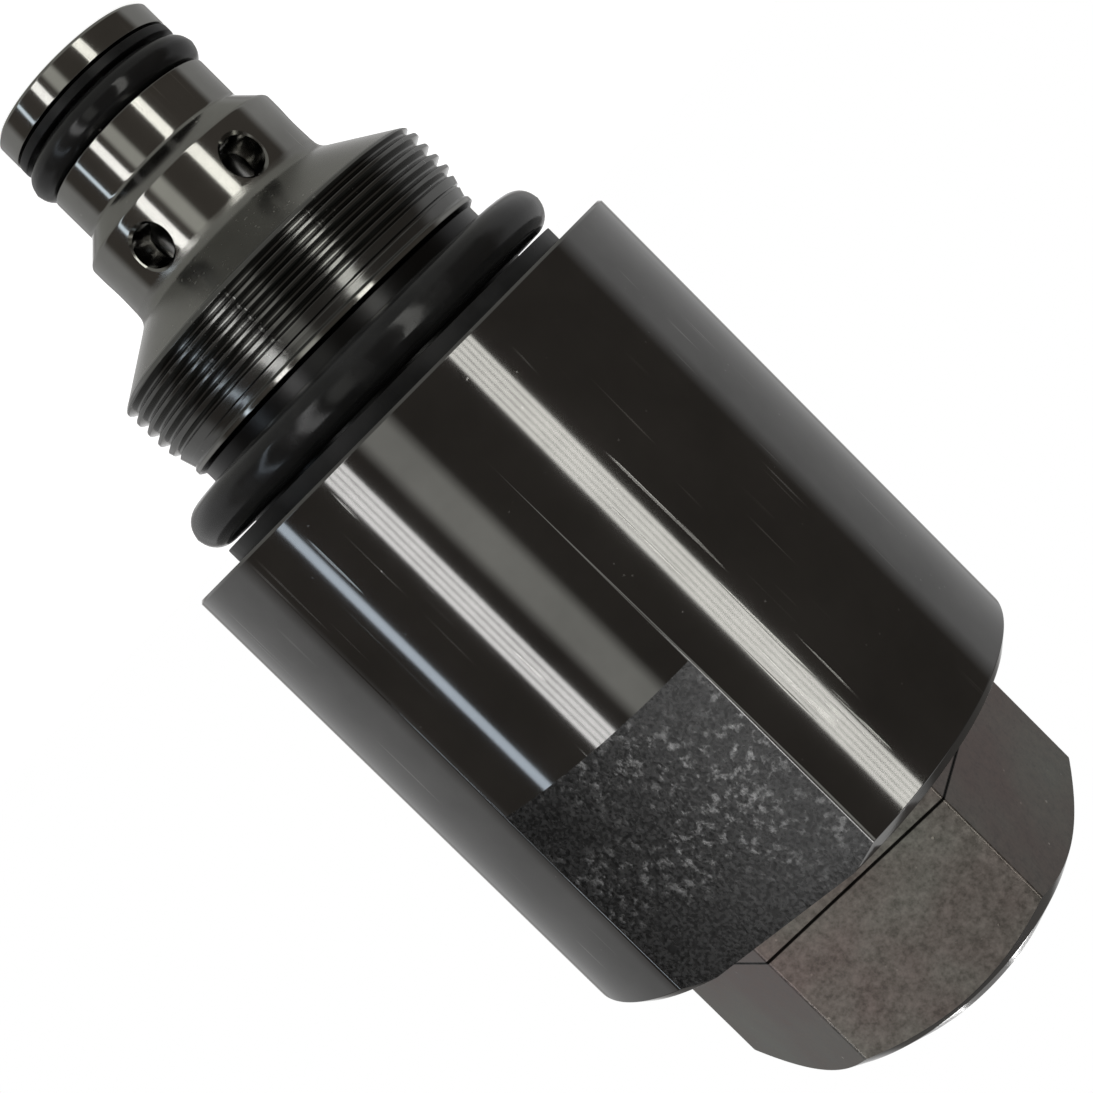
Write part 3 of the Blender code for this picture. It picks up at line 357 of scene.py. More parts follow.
def drawn_finish(name, color, roughness):
    """Drawn wire: a dull oxide film with a fine grain and bright rubbed places."""
    material, tree, shader, place = blank_finish(name)
    film = tree.noise(place, 400, 4.0, 0.6)
    fine = tree.noise(place, 5200, 2.0)
    base = tree.blend(tree.ramp(film, 0.38, 0.66), rgba(color, 0.75), rgba(color, 1.35))
    rough = tree.ramp(film, 0.35, 0.7, roughness + 0.10, roughness - 0.08)
    height = tree.math("MULTIPLY_ADD", fine, 0.6, film)
    dress(tree, shader, base, 1.0, rough, height, 3e-6)
    return material


def moulded_finish(name, color, roughness, lustre):
    """Moulded rubber or plastic: a fine skin, dull patches and a little dust."""
    material, tree, shader, place = blank_finish(name)
    skin = tree.noise(place, 2400, 3.0, 0.6)
    patch = tree.noise(place, 260, 3.0, 0.6)
    dust = specks(tree, place, 1300, 0.33)
    base = tree.blend(tree.ramp(patch, 0.40, 0.70), rgba(color), rgba(color, 1.9))
    base = tree.blend(tree.math("MULTIPLY", dust, 0.30), base, (0.30, 0.29, 0.27, 1.0))
    rough = tree.ramp(patch, 0.35, 0.68, roughness - 0.05, roughness + 0.12)
    rough = tree.math("MULTIPLY_ADD", dust, 0.3, rough)
    height = tree.math("MULTIPLY_ADD", skin, 0.5, patch)
    dress(tree, shader, base, 0.0, rough, height, 5e-6)
    shader.inputs["Specular IOR Level"].default_value = lustre
    return material


FINISHES = {}


def finish(slot):
    """The material for a record's slot, or for the cap's dome or a wrench flat, made once."""
    if slot not in FINISHES:
        f = bpy.context.scene.cartridge_finishes
        FINISHES[slot] = {
            "bright_steel": lambda: turned_finish(
                "polished_cage_steel", f.cage, 0.10, 1.0, 1.8e-6,
                # The thread band paints the shade of the thread's grooves into the steel's colour
                [(-16.9, -13.0, f.cage, 0.16), (-12.9, -6.6, f.thread, 0.05),
                 # This band paints the shade of the recess under the shoulder seal, between the thread
                 # and the barrel, into the steel's colour
                 (-6.1, 0.2, f.neck_shade, 0.15)],
            ),
            "dark_steel": lambda: turned_finish("dark_polished_plating", f.barrel, f.polish, 0.5),
            "cap_dome": lambda: turned_finish("polished_dome", f.dome, 0.09, 0.6, 1.6e-6),
            "wrench_flat": lambda: flecked_finish("milled_flat", f.flats, 0.27),
            "cap_steel": lambda: grained_finish(
                "grained_plating", f.cap, 0.38, (0.200, 0.165, 0.155), 0.9, 0.35,
                # Heights of the painted shadow in the gap between the plug's collar and the cap
                (42.38, 42.57),
            ),
            "hard_steel": lambda: turned_finish("ground_hard_steel", f.hard, 0.24, 1.2, 2.4e-6),
            "spring_steel": lambda: drawn_finish("drawn_spring_wire", f.spring, 0.34),
            "brass": lambda: turned_finish("turned_brass", f.brass, 0.26, 1.2, 2.4e-6),
            "soft_aluminium": lambda: turned_finish("soft_aluminium", f.aluminium, 0.38, 1.4, 3e-6),
            "seal_rubber": lambda: moulded_finish("seal_rubber", f.rubber, 0.15, 0.30),
            "backup_plastic": lambda: moulded_finish("backup_plastic", f.plastic, 0.30, 0.12),
        }[slot]()
    return FINISHES[slot]


# ---------------------------------------------------------------- shapes


def rounded(outline):
    """A closed outline of (radius, height) points, from corners of (radius, height, rounding)."""
    points = []
    for k, corner in enumerate(outline):
        here = Vector(corner[:2])
        if len(corner) < 3 or corner[2] == 0:
            points.append(here)
            continue
        before = Vector(outline[k - 1][:2]) - here
        after = Vector(outline[(k + 1) % len(outline)][:2]) - here
        reach = corner[2] / tan(before.angle(after) / 2)
        reach = min(reach, 0.48 * before.length, 0.48 * after.length)
        first = here + before.normalized() * reach
        last = here + after.normalized() * reach
        for step in range(FILLET_STEPS + 1):
            t = step / FILLET_STEPS
            points.append(first * (1 - t) ** 2 + here * 2 * t * (1 - t) + last * t**2)
    return points


def in_steps(points, low, high, step, least_radius):
    """The same outline with its outer side cut into short steps between two heights."""
    dense = []
    for here, after in zip(points, points[1:] + points[:1]):
        dense.append(here)
        if min(here.x, after.x) < least_radius or min(here.y, after.y) > high:
            continue
        if max(here.y, after.y) < low:
            continue
        count = int((after - here).length / step)
        dense += [here.lerp(after, k / (count + 1)) for k in range(1, count + 1)]
    return dense


def lathed(name, points, sides):
    """A mesh turned about Z from a closed outline in millimetres. Radius 0 closes on the axis."""
    form = bmesh.new()
    around = [tau * k / sides for k in range(sides)]
    rings = []
    for radius, height in points:
        if radius < 1e-6:
            rings.append([form.verts.new((0, 0, height * MM))])
            continue
        reach = radius * MM
        rings.append([form.verts.new((reach * cos(a), reach * sin(a), height * MM)) for a in around])
    for ring, after in zip(rings, rings[1:] + rings[:1]):
        for k in range(sides):
            corners = [ring[k % len(ring)], ring[(k + 1) % sides % len(ring)]]
            corners += [after[(k + 1) % sides % len(after)], after[k % len(after)]]
            corners = list(dict.fromkeys(corners))
            if len(corners) > 2:
                form.faces.new(corners)
    return mesh_of(name, form)


def mesh_of(name, form):
    bmesh.ops.recalc_face_normals(form, faces=form.faces)
    mesh = bpy.data.meshes.new(name)
    form.to_mesh(mesh)
    form.free()
    return mesh


def linked(name, data):
    obj = bpy.data.objects.new(name, data)
    bpy.context.scene.collection.objects.link(obj)
    return obj


def prism(name, across, low, high, edge):
    """A hexagonal bar along Z with rounded long edges, in millimetres."""
    corner = across / sqrt(3)
    corners = [
        (corner * cos(HEX_TURN + tau * k / 6), corner * sin(HEX_TURN + tau * k / 6), edge)
        for k in range(6)
    ]
    form = bmesh.new()
    ends = [
        [form.verts.new((p.x * MM, p.y * MM, z * MM)) for p in rounded(corners)]
        for z in (low, high)
    ]
    form.faces.new(ends[0])
    form.faces.new(ends[1])
    for k in range(len(ends[0])):
        after = (k + 1) % len(ends[0])
        form.faces.new((ends[0][k], ends[0][after], ends[1][after], ends[1][k]))
    return mesh_of(name, form)


def block(name, low, high):
    form = bmesh.new()
    bmesh.ops.create_cube(form, size=1.0)
    size = (Vector(high) - Vector(low)) * MM
    middle = (Vector(high) + Vector(low)) / 2 * MM
    place = Matrix.Translation(middle) @ Matrix.Diagonal((*size, 1.0))
    bmesh.ops.transform(form, matrix=place, verts=form.verts)
    return mesh_of(name, form)


def plain_mesh(obj):
    """The object's mesh with its modifiers in it, which are then removed."""
    found = obj.evaluated_get(bpy.context.evaluated_depsgraph_get())
    mesh = bpy.data.meshes.new_from_object(found)
    obj.modifiers.clear()
    obj.data = mesh


def shape_by(obj, cutters, operation="DIFFERENCE"):
    """Cuts the object by each mesh, or keeps what they share."""
    tools = [linked(mesh.name, mesh) for mesh in cutters]
    for tool in tools:
        modifier = obj.modifiers.new(tool.name, "BOOLEAN")
        modifier.operation = operation
        modifier.solver = "EXACT"
        modifier.object = tool
    plain_mesh(obj)
    for tool in tools:
        bpy.data.objects.remove(tool)


def smooth(obj, soft_band=None):
    """Smooth faces with sharp creases, except between the two heights of soft_band."""
    mesh = obj.data
    mesh.shade_smooth()
    mesh.set_sharp_from_angle(angle=SHARP_ANGLE)
    if soft_band:
        low, high, radius = (x * MM for x in soft_band)
        for edge in mesh.edges:
            places = [mesh.vertices[v].co for v in edge.vertices]
            if all(low < p.z < high and p.xy.length > radius for p in places):
                edge.use_edge_sharp = False
    modifier = obj.modifiers.new("Even normals", "WEIGHTED_NORMAL")
    modifier.keep_sharp = True
    plain_mesh(obj)


def settle(obj, body, slot, nodes, second=None):
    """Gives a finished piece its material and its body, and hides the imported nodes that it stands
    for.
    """
    obj.data.materials.clear()
    obj.data.materials.append(finish(slot))
    if second:
        obj.data.materials.append(finish(second))
    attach(obj, body)
    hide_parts(*nodes)


def turned_piece(name, outline, body, slot, node):
    """A plain turned piece, from its rounded outline."""
    sides = bpy.context.scene.cartridge_sizes.sides
    obj = linked(name, lathed(name, rounded(outline), sides))
    smooth(obj)
    settle(obj, body, slot, [node])
    return obj


def ring_outline(outside, section, height, flash):
    """The round section of an O-ring, with a moulding line round its outside and its inside."""
    points = []
    steps = 40
    for k in range(steps):
        a = tau * k / steps
        reach = section / 2 + (flash if k in (0, steps // 2) else 0)
        points.append(Vector((outside - section / 2 + reach * cos(a), height + reach * sin(a))))
    return points


def seal_piece(name, outside, section, height, body, node):
    sizes = bpy.context.scene.cartridge_sizes
    obj = linked(
        name, lathed(name, ring_outline(outside, section, height, sizes.flash), sizes.sides)
    )
    obj.data.shade_smooth()
    settle(obj, body, "seal_rubber", [node])
    return obj


def backup_piece(name, inner, outer, low, high, body, node):
    outline = [(inner, low, 0.08), (outer, low, 0.08), (outer, high, 0.08), (inner, high, 0.08)]
    return turned_piece(name, outline, body, "backup_plastic", node)


def box_of(node):
    """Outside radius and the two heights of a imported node, in millimetres."""
    low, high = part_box(node)
    return high.x / MM, low.z / MM, high.z / MM


# ---------------------------------------------------------------- geometry nodes


def node_group(name, sizes):
    """A Geometry Nodes tree with a geometry input and named size inputs, and its helper."""
    group = bpy.data.node_groups.new(name, "GeometryNodeTree")
    face = group.interface
    face.new_socket("Geometry", in_out="INPUT", socket_type="NodeSocketGeometry")
    for label, value in sizes.items():
        kind = "NodeSocketInt" if isinstance(value, int) else "NodeSocketFloat"
        face.new_socket(label, in_out="INPUT", socket_type=kind).default_value = value
    face.new_socket("Material", in_out="INPUT", socket_type="NodeSocketMaterial")
    face.new_socket("Geometry", in_out="OUTPUT", socket_type="NodeSocketGeometry")
    tree = Tree(group)
    start = group.nodes.new("NodeGroupInput")
    end = group.nodes.new("NodeGroupOutput")
    return group, tree, start.outputs, end.inputs


def close_group(tree, geometry, start, end):
    real = tree.add("GeometryNodeRealizeInstances", {"Geometry": geometry})
    dressed = tree.add(
        "GeometryNodeSetMaterial", {"Geometry": real, "Material": start["Material"]}
    )
    tree.join(dressed, end["Geometry"])


def run_group(obj, group, values):
    """Puts the tree on the object with these inputs, and keeps the plain mesh that it makes."""
    modifier = obj.modifiers.new(group.name, "NODES")
    modifier.node_group = group
    for item in group.interface.items_tree:
        if item.in_out == "INPUT" and item.name in values:
            modifier[item.identifier] = values[item.name]
    plain_mesh(obj)


def thread_group():
    """Cuts a helical thread into whatever stands prouder than its root, between two heights."""
    group, tree, start, end = node_group(
        "Cut thread", {"Pitch": 0.001, "Root": 0.0134, "Depth": 0.0006, "Front": 0.0, "Rear": 0.01}
    )
    position = tree.add("GeometryNodeInputPosition")
    split = group.nodes.new("ShaderNodeSeparateXYZ")
    tree.join(position, split.inputs[0])
    x, y, z = split.outputs
    radius = tree.math(
        "SQRT", tree.math("ADD", tree.math("MULTIPLY", x, x), tree.math("MULTIPLY", y, y))
    )
    turn = tree.math("DIVIDE", tree.math("ARCTAN2", y, x), tau)
    phase = tree.math("FRACT", tree.math("SUBTRACT", tree.math("DIVIDE", z, start["Pitch"]), turn))
    away = tree.math("ABSOLUTE", tree.math("MULTIPLY_ADD", phase, 2.0, -1.0))
    ridge = tree.ramp(away, 0.16, 0.86, 1.0, 0.0)
    form = tree.math("MULTIPLY_ADD", ridge, start["Depth"], start["Root"])
    cut = tree.math("DIVIDE", tree.math("MINIMUM", form, radius), radius)
    scale = tree.add("ShaderNodeCombineXYZ", {"X": cut, "Y": cut, "Z": 1.0})
    moved = tree.add("ShaderNodeVectorMath", {0: position, 1: scale}, operation="MULTIPLY")
    inside = tree.math(
        "MULTIPLY",
        tree.math("GREATER_THAN", z, start["Front"]),
        tree.math("LESS_THAN", z, start["Rear"]),
    )
    outside = tree.math("GREATER_THAN", radius, tree.math("MULTIPLY", start["Root"], 0.97))
    inputs = {
        "Geometry": start["Geometry"],
        "Selection": tree.math("MULTIPLY", inside, outside),
        "Position": moved,
    }
    close_group(tree, tree.add("GeometryNodeSetPosition", inputs), start, end)
    return group


def spring_group():
    """Winds a compression spring with closed and ground ends between two heights."""
    sizes = {"Radius": 0.003, "Wire": 0.001, "Low": 0.0, "High": 0.01, "Open turns": 4.0}
    sizes["Steps"] = 200
    group, tree, start, end = node_group("Wind spring", sizes)
    wire, low, high = start["Wire"], start["Low"], start["High"]
    closed = tree.math("MULTIPLY", wire, 1.04)
    room = tree.math("SUBTRACT", tree.math("SUBTRACT", high, low), wire)
    room = tree.math("SUBTRACT", room, tree.math("MULTIPLY", closed, 2.0))
    rise = tree.math("DIVIDE", room, start["Open turns"])
    line = tree.add("GeometryNodeCurvePrimitiveLine", {"Start": (0, 0, 0), "End": (0, 0, 1)})
    line = tree.add("GeometryNodeResampleCurve", {"Curve": line, "Count": start["Steps"]})
    along = tree.add("GeometryNodeSplineParameter", output="Factor")
    turns = tree.math("ADD", start["Open turns"], 2.0)
    turn = tree.math("MULTIPLY", along, turns)
    height = tree.math("MULTIPLY_ADD", tree.math("MINIMUM", turn, 1.0), closed, low)
    height = tree.math("MULTIPLY_ADD", wire, 0.5, height)
    middle = tree.math("MAXIMUM", tree.math("SUBTRACT", turn, 1.0), 0.0)
    middle = tree.math("MINIMUM", middle, start["Open turns"])
    height = tree.math("MULTIPLY_ADD", middle, rise, height)
    last = tree.math("MAXIMUM", tree.math("SUBTRACT", turn, tree.math("SUBTRACT", turns, 1.0)), 0.0)
    height = tree.math("MULTIPLY_ADD", last, closed, height)
    angle = tree.math("MULTIPLY", turn, tau)
    spot = tree.add(
        "ShaderNodeCombineXYZ",
        {
            "X": tree.math("MULTIPLY", tree.math("COSINE", angle), start["Radius"]),
            "Y": tree.math("MULTIPLY", tree.math("SINE", angle), start["Radius"]),
            "Z": height,
        },
    )
    coil = tree.add("GeometryNodeSetPosition", {"Geometry": line, "Position": spot})
    section = tree.add(
        "GeometryNodeCurvePrimitiveCircle",
        {"Resolution": 14, "Radius": tree.math("MULTIPLY", wire, 0.5)},
        mode="RADIUS",
    )
    inputs = {"Curve": coil, "Profile Curve": section, "Fill Caps": True}
    body = tree.add("GeometryNodeCurveToMesh", inputs)
    position = tree.add("GeometryNodeInputPosition")
    split = group.nodes.new("ShaderNodeSeparateXYZ")
    tree.join(position, split.inputs[0])
    held = tree.math("MAXIMUM", tree.math("MINIMUM", split.outputs[2], high), low)
    ground = tree.add(
        "ShaderNodeCombineXYZ", {"X": split.outputs[0], "Y": split.outputs[1], "Z": held}
    )
    body = tree.add("GeometryNodeSetPosition", {"Geometry": body, "Position": ground})
    close_group(tree, body, start, end)
    return group


def cut_at(obj, height, side):
    """Keeps the part of a closed piece below the height (side 1) or above it (side -1)."""
    form = bmesh.new()
    form.from_mesh(obj.data)
    parts = [*form.verts, *form.edges, *form.faces]
    plane = {"plane_co": (0, 0, height * MM), "plane_no": (0, 0, side), "clear_outer": True}
    cut = bmesh.ops.bisect_plane(form, geom=parts, dist=1e-7, **plane)
    edges = [part for part in cut["geom_cut"] if isinstance(part, bmesh.types.BMEdge)]
    bmesh.ops.holes_fill(form, edges=edges)
    form.to_mesh(obj.data)
    form.free()


def wound_spring(name, node, radius, wire, open_turns, body, cut=None):
    """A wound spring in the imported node's place, or the part of it on one side of a height."""
    _, low, high = box_of(node)
    obj = linked(name, bpy.data.meshes.new(name))
    values = {"Radius": radius * MM, "Wire": wire * MM, "Low": low * MM, "High": high * MM}
    values |= {"Open turns": open_turns, "Steps": int((open_turns + 2) * 48)}
    values["Material"] = finish("spring_steel")
    run_group(obj, spring_group(), values)
    if cut:
        cut_at(obj, *cut)
    obj.data.shade_smooth()
    settle(obj, body, "spring_steel", [node])
    return obj


# ---------------------------------------------------------------- pieces


class PieceOperator:
    """What the operators share"""

    bl_options = {"REGISTER"}

    def execute(self, context):
        self.make(context.scene.cartridge_sizes)
        return {"FINISHED"}


class CARTRIDGE_OT_cage(PieceOperator, bpy.types.Operator):
    """Make the cage: nose, collar with its cross holes, flare, cavity thread and shank"""

    bl_idname = "cartridge.cage"
    bl_label = "Cage"

    def make(self, sizes):
        outline = [
            (6.82, -31.8, 0.06), (7.05, -31.57, 0.08), (7.05, -29.9, 0.10), (4.95, -29.9, 0.15),
            (4.95, -26.3, 0.15), (7.05, -26.3, 0.12), (7.05, -22.85, 0.50), (8.6, -21.3, 0.40),
            (8.6, -16.24, 1.4), (13.65, -12.96, 0.12), (14.0, -12.61, 0.10), (14.0, -9.0, 1.0),
            (13.32, -6.75, 0.08), (13.50, -6.55, 0.08), (13.50, -6.22, 0.10), (13.05, -5.95, 0.10),
            (13.05, 0.05), (11.7, 0.05), (11.7, 1.4, 0.1), (10.0, 1.4, 0.1), (10.0, 3.4, 0.1),
            (11.7, 3.4, 0.1), (11.7, 12.0, 0.2), (8.0, 12.0, 0.2), (8.0, 6.8), (8.7, 6.8),
            (8.7, 5.3), (8.0, 5.3), (8.0, -1.2), (5.3, -1.2, 0.1), (5.3, -15.6, 0.1),
            (6.0, -15.6), (6.0, -20.6), (5.0, -20.6), (5.0, -24.55), (3.2, -24.55, 0.1),
            (3.2, -31.35, 0.15), (3.65, -31.8, 0.06),
        ]
        points = in_steps(rounded(outline), -13.6, -6.8, 0.045, 12.6)
        points = in_steps(points, -22.0, -16.5, 0.4, 8.0)
        cage = linked("threaded_cage", lathed("threaded_cage", points, sizes.sides))
        run_group(
            cage,
            thread_group(),
            {
                "Pitch": sizes.thread_pitch * MM,
                "Root": sizes.thread_root * MM,
                "Depth": sizes.thread_depth * MM,
                "Front": -13.5 * MM,
                "Rear": -6.8 * MM,
                "Material": finish("bright_steel"),
            },
        )
        wide = sizes.countersink
        radius = CROSS_HOLE_RADIUS
        drill = [(0, 4.0), (radius, 4.0), (radius, 8.35), (radius + wide, 8.35 + wide)]
        drill += [(radius + wide, 9.0), (0, 9.0)]
        cutters = []
        for k in range(6):
            mesh = lathed(f"cross_drill_{k}", [Vector(p) for p in drill], 48)
            way = Vector((cos(HOLE_TURN + tau * k / 6), sin(HOLE_TURN + tau * k / 6), 0))
            turn = way.to_track_quat("Z", "Y").to_matrix().to_4x4()
            mesh.transform(Matrix.Translation((0, 0, CROSS_HOLE_HEIGHT * MM)) @ turn)
            cutters.append(mesh)
        low, high, radius = CROSS_HOLE_HEIGHT, -0.2, DRAIN_HOLE_RADIUS
        drain = [(0, low), (radius, low), (radius, high), (0, high)]
        for k in range(2):
            mesh = lathed(f"drain_drill_{k}", [Vector(p) for p in drain], 24)
            a = HOLE_TURN + pi * k
            place = (DRAIN_HOLE_REACH * MM * cos(a), DRAIN_HOLE_REACH * MM * sin(a), 0)
            mesh.transform(Matrix.Translation(place))
            cutters.append(mesh)
        shape_by(cage, cutters)
        smooth(cage, soft_band=(-13.2, -6.8, 12.6))
        settle(cage, "housing", "bright_steel", ["valve_cage"])


# O-rings: piece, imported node, outside radius and section in millimetres, body
SEALS = [
    ("nose_seal", "nose_o_ring", 7.55, 2.45, "housing"),
    ("shoulder_seal", "shoulder_o_ring", 16.78, 3.53, "housing"),
    ("shank_seal", "cage_o_ring", 11.8, 1.6, "housing"),
    ("pilot_face_seal", "pilot_seat_o_ring", 6.35, 0.9, "housing"),
    ("screw_seal", "adjuster_o_ring", 5.75, 1.7, "adjuster"),
    ("plug_seal", "end_plug_o_ring", 12.8, 1.7, "housing"),
]
# Backup rings: piece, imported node, inner radius in millimetres, body
BACKUPS = [
    ("nose_backup", "nose_backup_ring", 5.1, "housing"),
    ("shoulder_backup", "shoulder_backup_ring", 13.25, "housing"),
    ("screw_backup", "adjuster_backup_ring", 4.05, "adjuster"),
]


class CARTRIDGE_OT_seals(PieceOperator, bpy.types.Operator):
    """Make the O-rings and the backup rings, outside and inside"""

    bl_idname = "cartridge.seals"
    bl_label = "Seals"

    def make(self, sizes):
        for name, node, outside, section, body in SEALS:
            _, low, high = box_of(node)
            seal_piece(name, outside, section, (low + high) / 2, body, node)
        for name, node, inner, body in BACKUPS:
            outside, low, high = box_of(node)
            backup_piece(name, inner, outside, low, high, body, node)


class CARTRIDGE_OT_main_stage(PieceOperator, bpy.types.Operator):
    """Make the main stage: seat ring, poppet, orifice, screen and spring"""

    bl_idname = "cartridge.main_stage"
    bl_label = "Main stage"

    def make(self, sizes):
        seat = [(3.4, -24.3, 0.1), (4.75, -24.3, 0.15), (4.75, -21.2, 0.15), (3.4, -21.2, 0.05)]
        turned_piece("main_seat", seat, "housing", "hard_steel", "seat_ring")
        poppet = [(1.9, -22.4, 0.1), (4.2, -20.1, 0.1), (4.2, -17.25, 0.4), (5.05, -16.4, 0.1)]
        for k in range(3):
            front = -14.2 + 2.2 * k
            poppet += [(5.05, front, 0.05), (4.75, front, 0.08)]
            poppet += [(4.75, front + 0.5, 0.08), (5.05, front + 0.5, 0.05)]
        poppet += [(5.05, -4.3, 0.1), (4.75, -4.0, 0.1), (3.5, -4.0, 0.1), (3.5, -17.6, 0.3)]
        poppet += [(0.8, -17.6), (0.8, -18.9), (1.5, -18.9), (1.5, -22.4, 0.08)]
        turned_piece("main_valve_poppet", poppet, "main_stage", "hard_steel", "main_poppet")
        screw = [(0.5, -21.4, 0.15), (1.25, -21.4, 0.1), (1.25, -19.1, 0.1), (0.5, -19.1, 0.1)]
        turned_piece("orifice_plug", screw, "main_stage", "brass", "orifice_screw")
        disc = [(0, -22.0), (1.25, -22.0, 0.05), (1.25, -21.6, 0.05), (0, -21.6)]
        screen = linked("strainer", lathed("strainer", rounded(disc), 64))
        holes = []
        for k in range(5):
            hole = [Vector(p) for p in ((0, -22.3), (0.2, -22.3), (0.2, -21.3), (0, -21.3))]
            mesh = lathed(f"strainer_drill_{k}", hole, 20)
            a = tau * k / 5
            mesh.transform(Matrix.Translation((0.7 * MM * cos(a), 0.7 * MM * sin(a), 0)))
            holes.append(mesh)
        shape_by(screen, holes)
        smooth(screen)
        settle(screen, "main_stage", "hard_steel", ["orifice_screen"])
        spring = wound_spring("main_coil", "main_spring", 2.75, 0.7, 6.0, "housing")
        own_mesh(spring)


class CARTRIDGE_OT_pilot_stage(PieceOperator, bpy.types.Operator):
    """Make the pilot stage: seat, retaining ring, poppet and spring"""

    bl_idname = "cartridge.pilot_stage"
    bl_label = "Pilot stage"

    def make(self, sizes):
        outline = [
            (5.35, -0.9), (5.35, -0.1, 0.08), (6.45, -0.1, 0.08), (6.45, -0.9), (7.35, -0.9, 0.05),
            (7.75, -0.5, 0.05), (7.75, 5.3, 0.15), (1.2, 5.3, 0.08), (1.2, 2.01, 0.1),
            (2.0, 2.01, 0.1), (2.0, -0.9, 0.15),
        ]
        seat = linked("pilot_valve_seat", lathed("pilot_valve_seat", rounded(outline), sizes.sides))
        flats = [
            block("right_flat", (7.1, -9, -2), (9, 9, 6)),
            block("left_flat", (-9, -9, -2), (-7.1, 9, 6)),
        ]
        shape_by(seat, flats)
        smooth(seat)
        settle(seat, "housing", "hard_steel", ["pilot_seat"])
        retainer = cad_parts["retaining_ring"]
        retainer.data.materials.clear()
        retainer.data.materials.append(finish("spring_steel"))
        poppet = [
            (0, 4.1), (0.3, 4.1, 0.1), (2.3, 8.1, 0.15), (4.9, 8.1, 0.15), (4.9, 9.6, 0.15),
            (2.7, 9.6, 0.1), (2.7, 12.6, 0.1), (2.3, 13.0, 0.1), (0, 13.0),
        ]
        turned_piece("pilot_valve_poppet", poppet, "pilot_stage", "hard_steel", "pilot_poppet")
        _, low, high = box_of("pilot_spring")
        middle = (low + high) / 2
        halves = [
            ("front_pilot_coil", 1, "pilot_poppet_lift", PILOT_LIFT),
            ("rear_pilot_coil", -1, "adjuster_travel", SCREW_TRAVEL),
        ]
        for name, side, joint, travel in halves:
            half = wound_spring(name, "pilot_spring", 3.9, 1.8, 4.0, "housing", (middle, side))
            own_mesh(half)


class CARTRIDGE_OT_barrel(PieceOperator, bpy.types.Operator):
    """Make the barrel, polished round its side, with two milled wrench flats"""

    bl_idname = "cartridge.barrel"
    bl_label = "Barrel"

    def make(self, sizes):
        outline = [
            (12.0, 0.3), (16.3, 0.3), (16.3, 0.0, 0.08), (19.55, 0.0, 0.06), (19.75, 0.2, 0.06),
            (19.75, 39.2, 0.15), (18.95, 40.0, 0.15), (13.0, 40.0, 0.1), (13.0, 27.1),
            (6.5, 27.1), (6.5, 12.3), (12.0, 12.3),
        ]
        barrel = linked("turned_barrel", lathed("turned_barrel", rounded(outline), sizes.sides))
        flats = [
            block("front_flat", (-22, -22, 23.3), (22, -FLAT_SIDE, 42)),
            block("back_flat", (-22, FLAT_SIDE, 23.3), (22, 22, 42)),
        ]
        shape_by(barrel, flats)
        smooth(barrel)
        settle(barrel, "housing", "dark_steel", ["barrel"], "wrench_flat")
        for face in barrel.data.polygons:
            level = abs(face.center.y) / MM
            on_flat = abs(level - FLAT_SIDE) < 0.02 and abs(face.normal.y) > 0.99
            face.material_index = 1 if on_flat else 0


class CARTRIDGE_OT_adjuster(PieceOperator, bpy.types.Operator):
    """Make the adjuster: shim, spring button and adjusting screw"""

    bl_idname = "cartridge.adjuster"
    bl_label = "Adjuster"

    def make(self, sizes):
        shim = [(2.95, 26.5, 0.05), (4.8, 26.5, 0.05), (4.8, 27.0, 0.05), (2.95, 27.0, 0.05)]
        turned_piece("shim_ring", shim, "spring_seat", "hard_steel", "spring_shim")
        button = [
            (0, 23.6), (2.3, 23.6, 0.1), (2.7, 24.0, 0.1), (2.7, 27.3, 0.15), (5.4, 27.3, 0.12),
            (5.4, 29.3, 0.2), (0, 29.3),
        ]
        turned_piece("button", button, "spring_seat", "hard_steel", "spring_button")
        outline = [
            (0, 29.6), (5.35, 29.6, 0.1), (5.75, 30.0, 0.1), (5.75, 30.6, 0.08), (3.85, 30.6, 0.1),
            (3.85, 33.5, 0.1), (5.75, 33.5, 0.08), (5.75, 34.6, 0.12), (4.0, 34.6, 0.1),
            (4.0, 51.5, 0.1), (3.6, 51.9, 0.1), (0, 51.9),
        ]
        points = in_steps(rounded(outline), 38.0, 51.6, 0.08, 3.9)
        screw = linked("screw", lathed("screw", points, 160))
        values = {"Pitch": 1.0 * MM, "Root": 3.5 * MM, "Depth": 0.5 * MM}
        values |= {"Front": 38.2 * MM, "Rear": 51.8 * MM, "Material": finish("hard_steel")}
        run_group(screw, thread_group(), values)
        shape_by(screw, [prism("key_socket", 4.0, 48.9, 53.0, 0.05)])
        smooth(screw, soft_band=(38.0, 51.4, 3.3))
        settle(screw, "adjuster", "hard_steel", ["adjusting_screw"])


class CARTRIDGE_OT_end_plug(PieceOperator, bpy.types.Operator):
    """Make the end plug with its thin hexagonal collar and the boss behind it"""

    bl_idname = "cartridge.end_plug"
    bl_label = "End plug"

    def make(self, sizes):
        outline = [
            (12.3, 27.4, 0.1), (12.7, 27.8, 0.1), (12.7, 36.7), (10.9, 36.7, 0.1),
            (10.9, 38.8, 0.1), (12.7, 38.8), (12.7, 40.3), (16.6, 40.3, 0.1), (16.6, 42.45, 0.1),
            (9.7, 42.45, 0.1), (9.7, 45.8, 0.1), (9.3, 46.2, 0.1), (4.25, 46.2, 0.1),
            (4.25, 38.0), (6.0, 38.0), (6.0, 27.4, 0.2),
        ]
        plug = linked("collared_plug", lathed("collared_plug", rounded(outline), sizes.sides))
        shape_by(plug, [prism("plug_hexagon", HEX_ACROSS, 26.0, 48.0, sizes.hex_edge)], "INTERSECT")
        smooth(plug)
        settle(plug, "housing", "cap_steel", ["end_plug"])


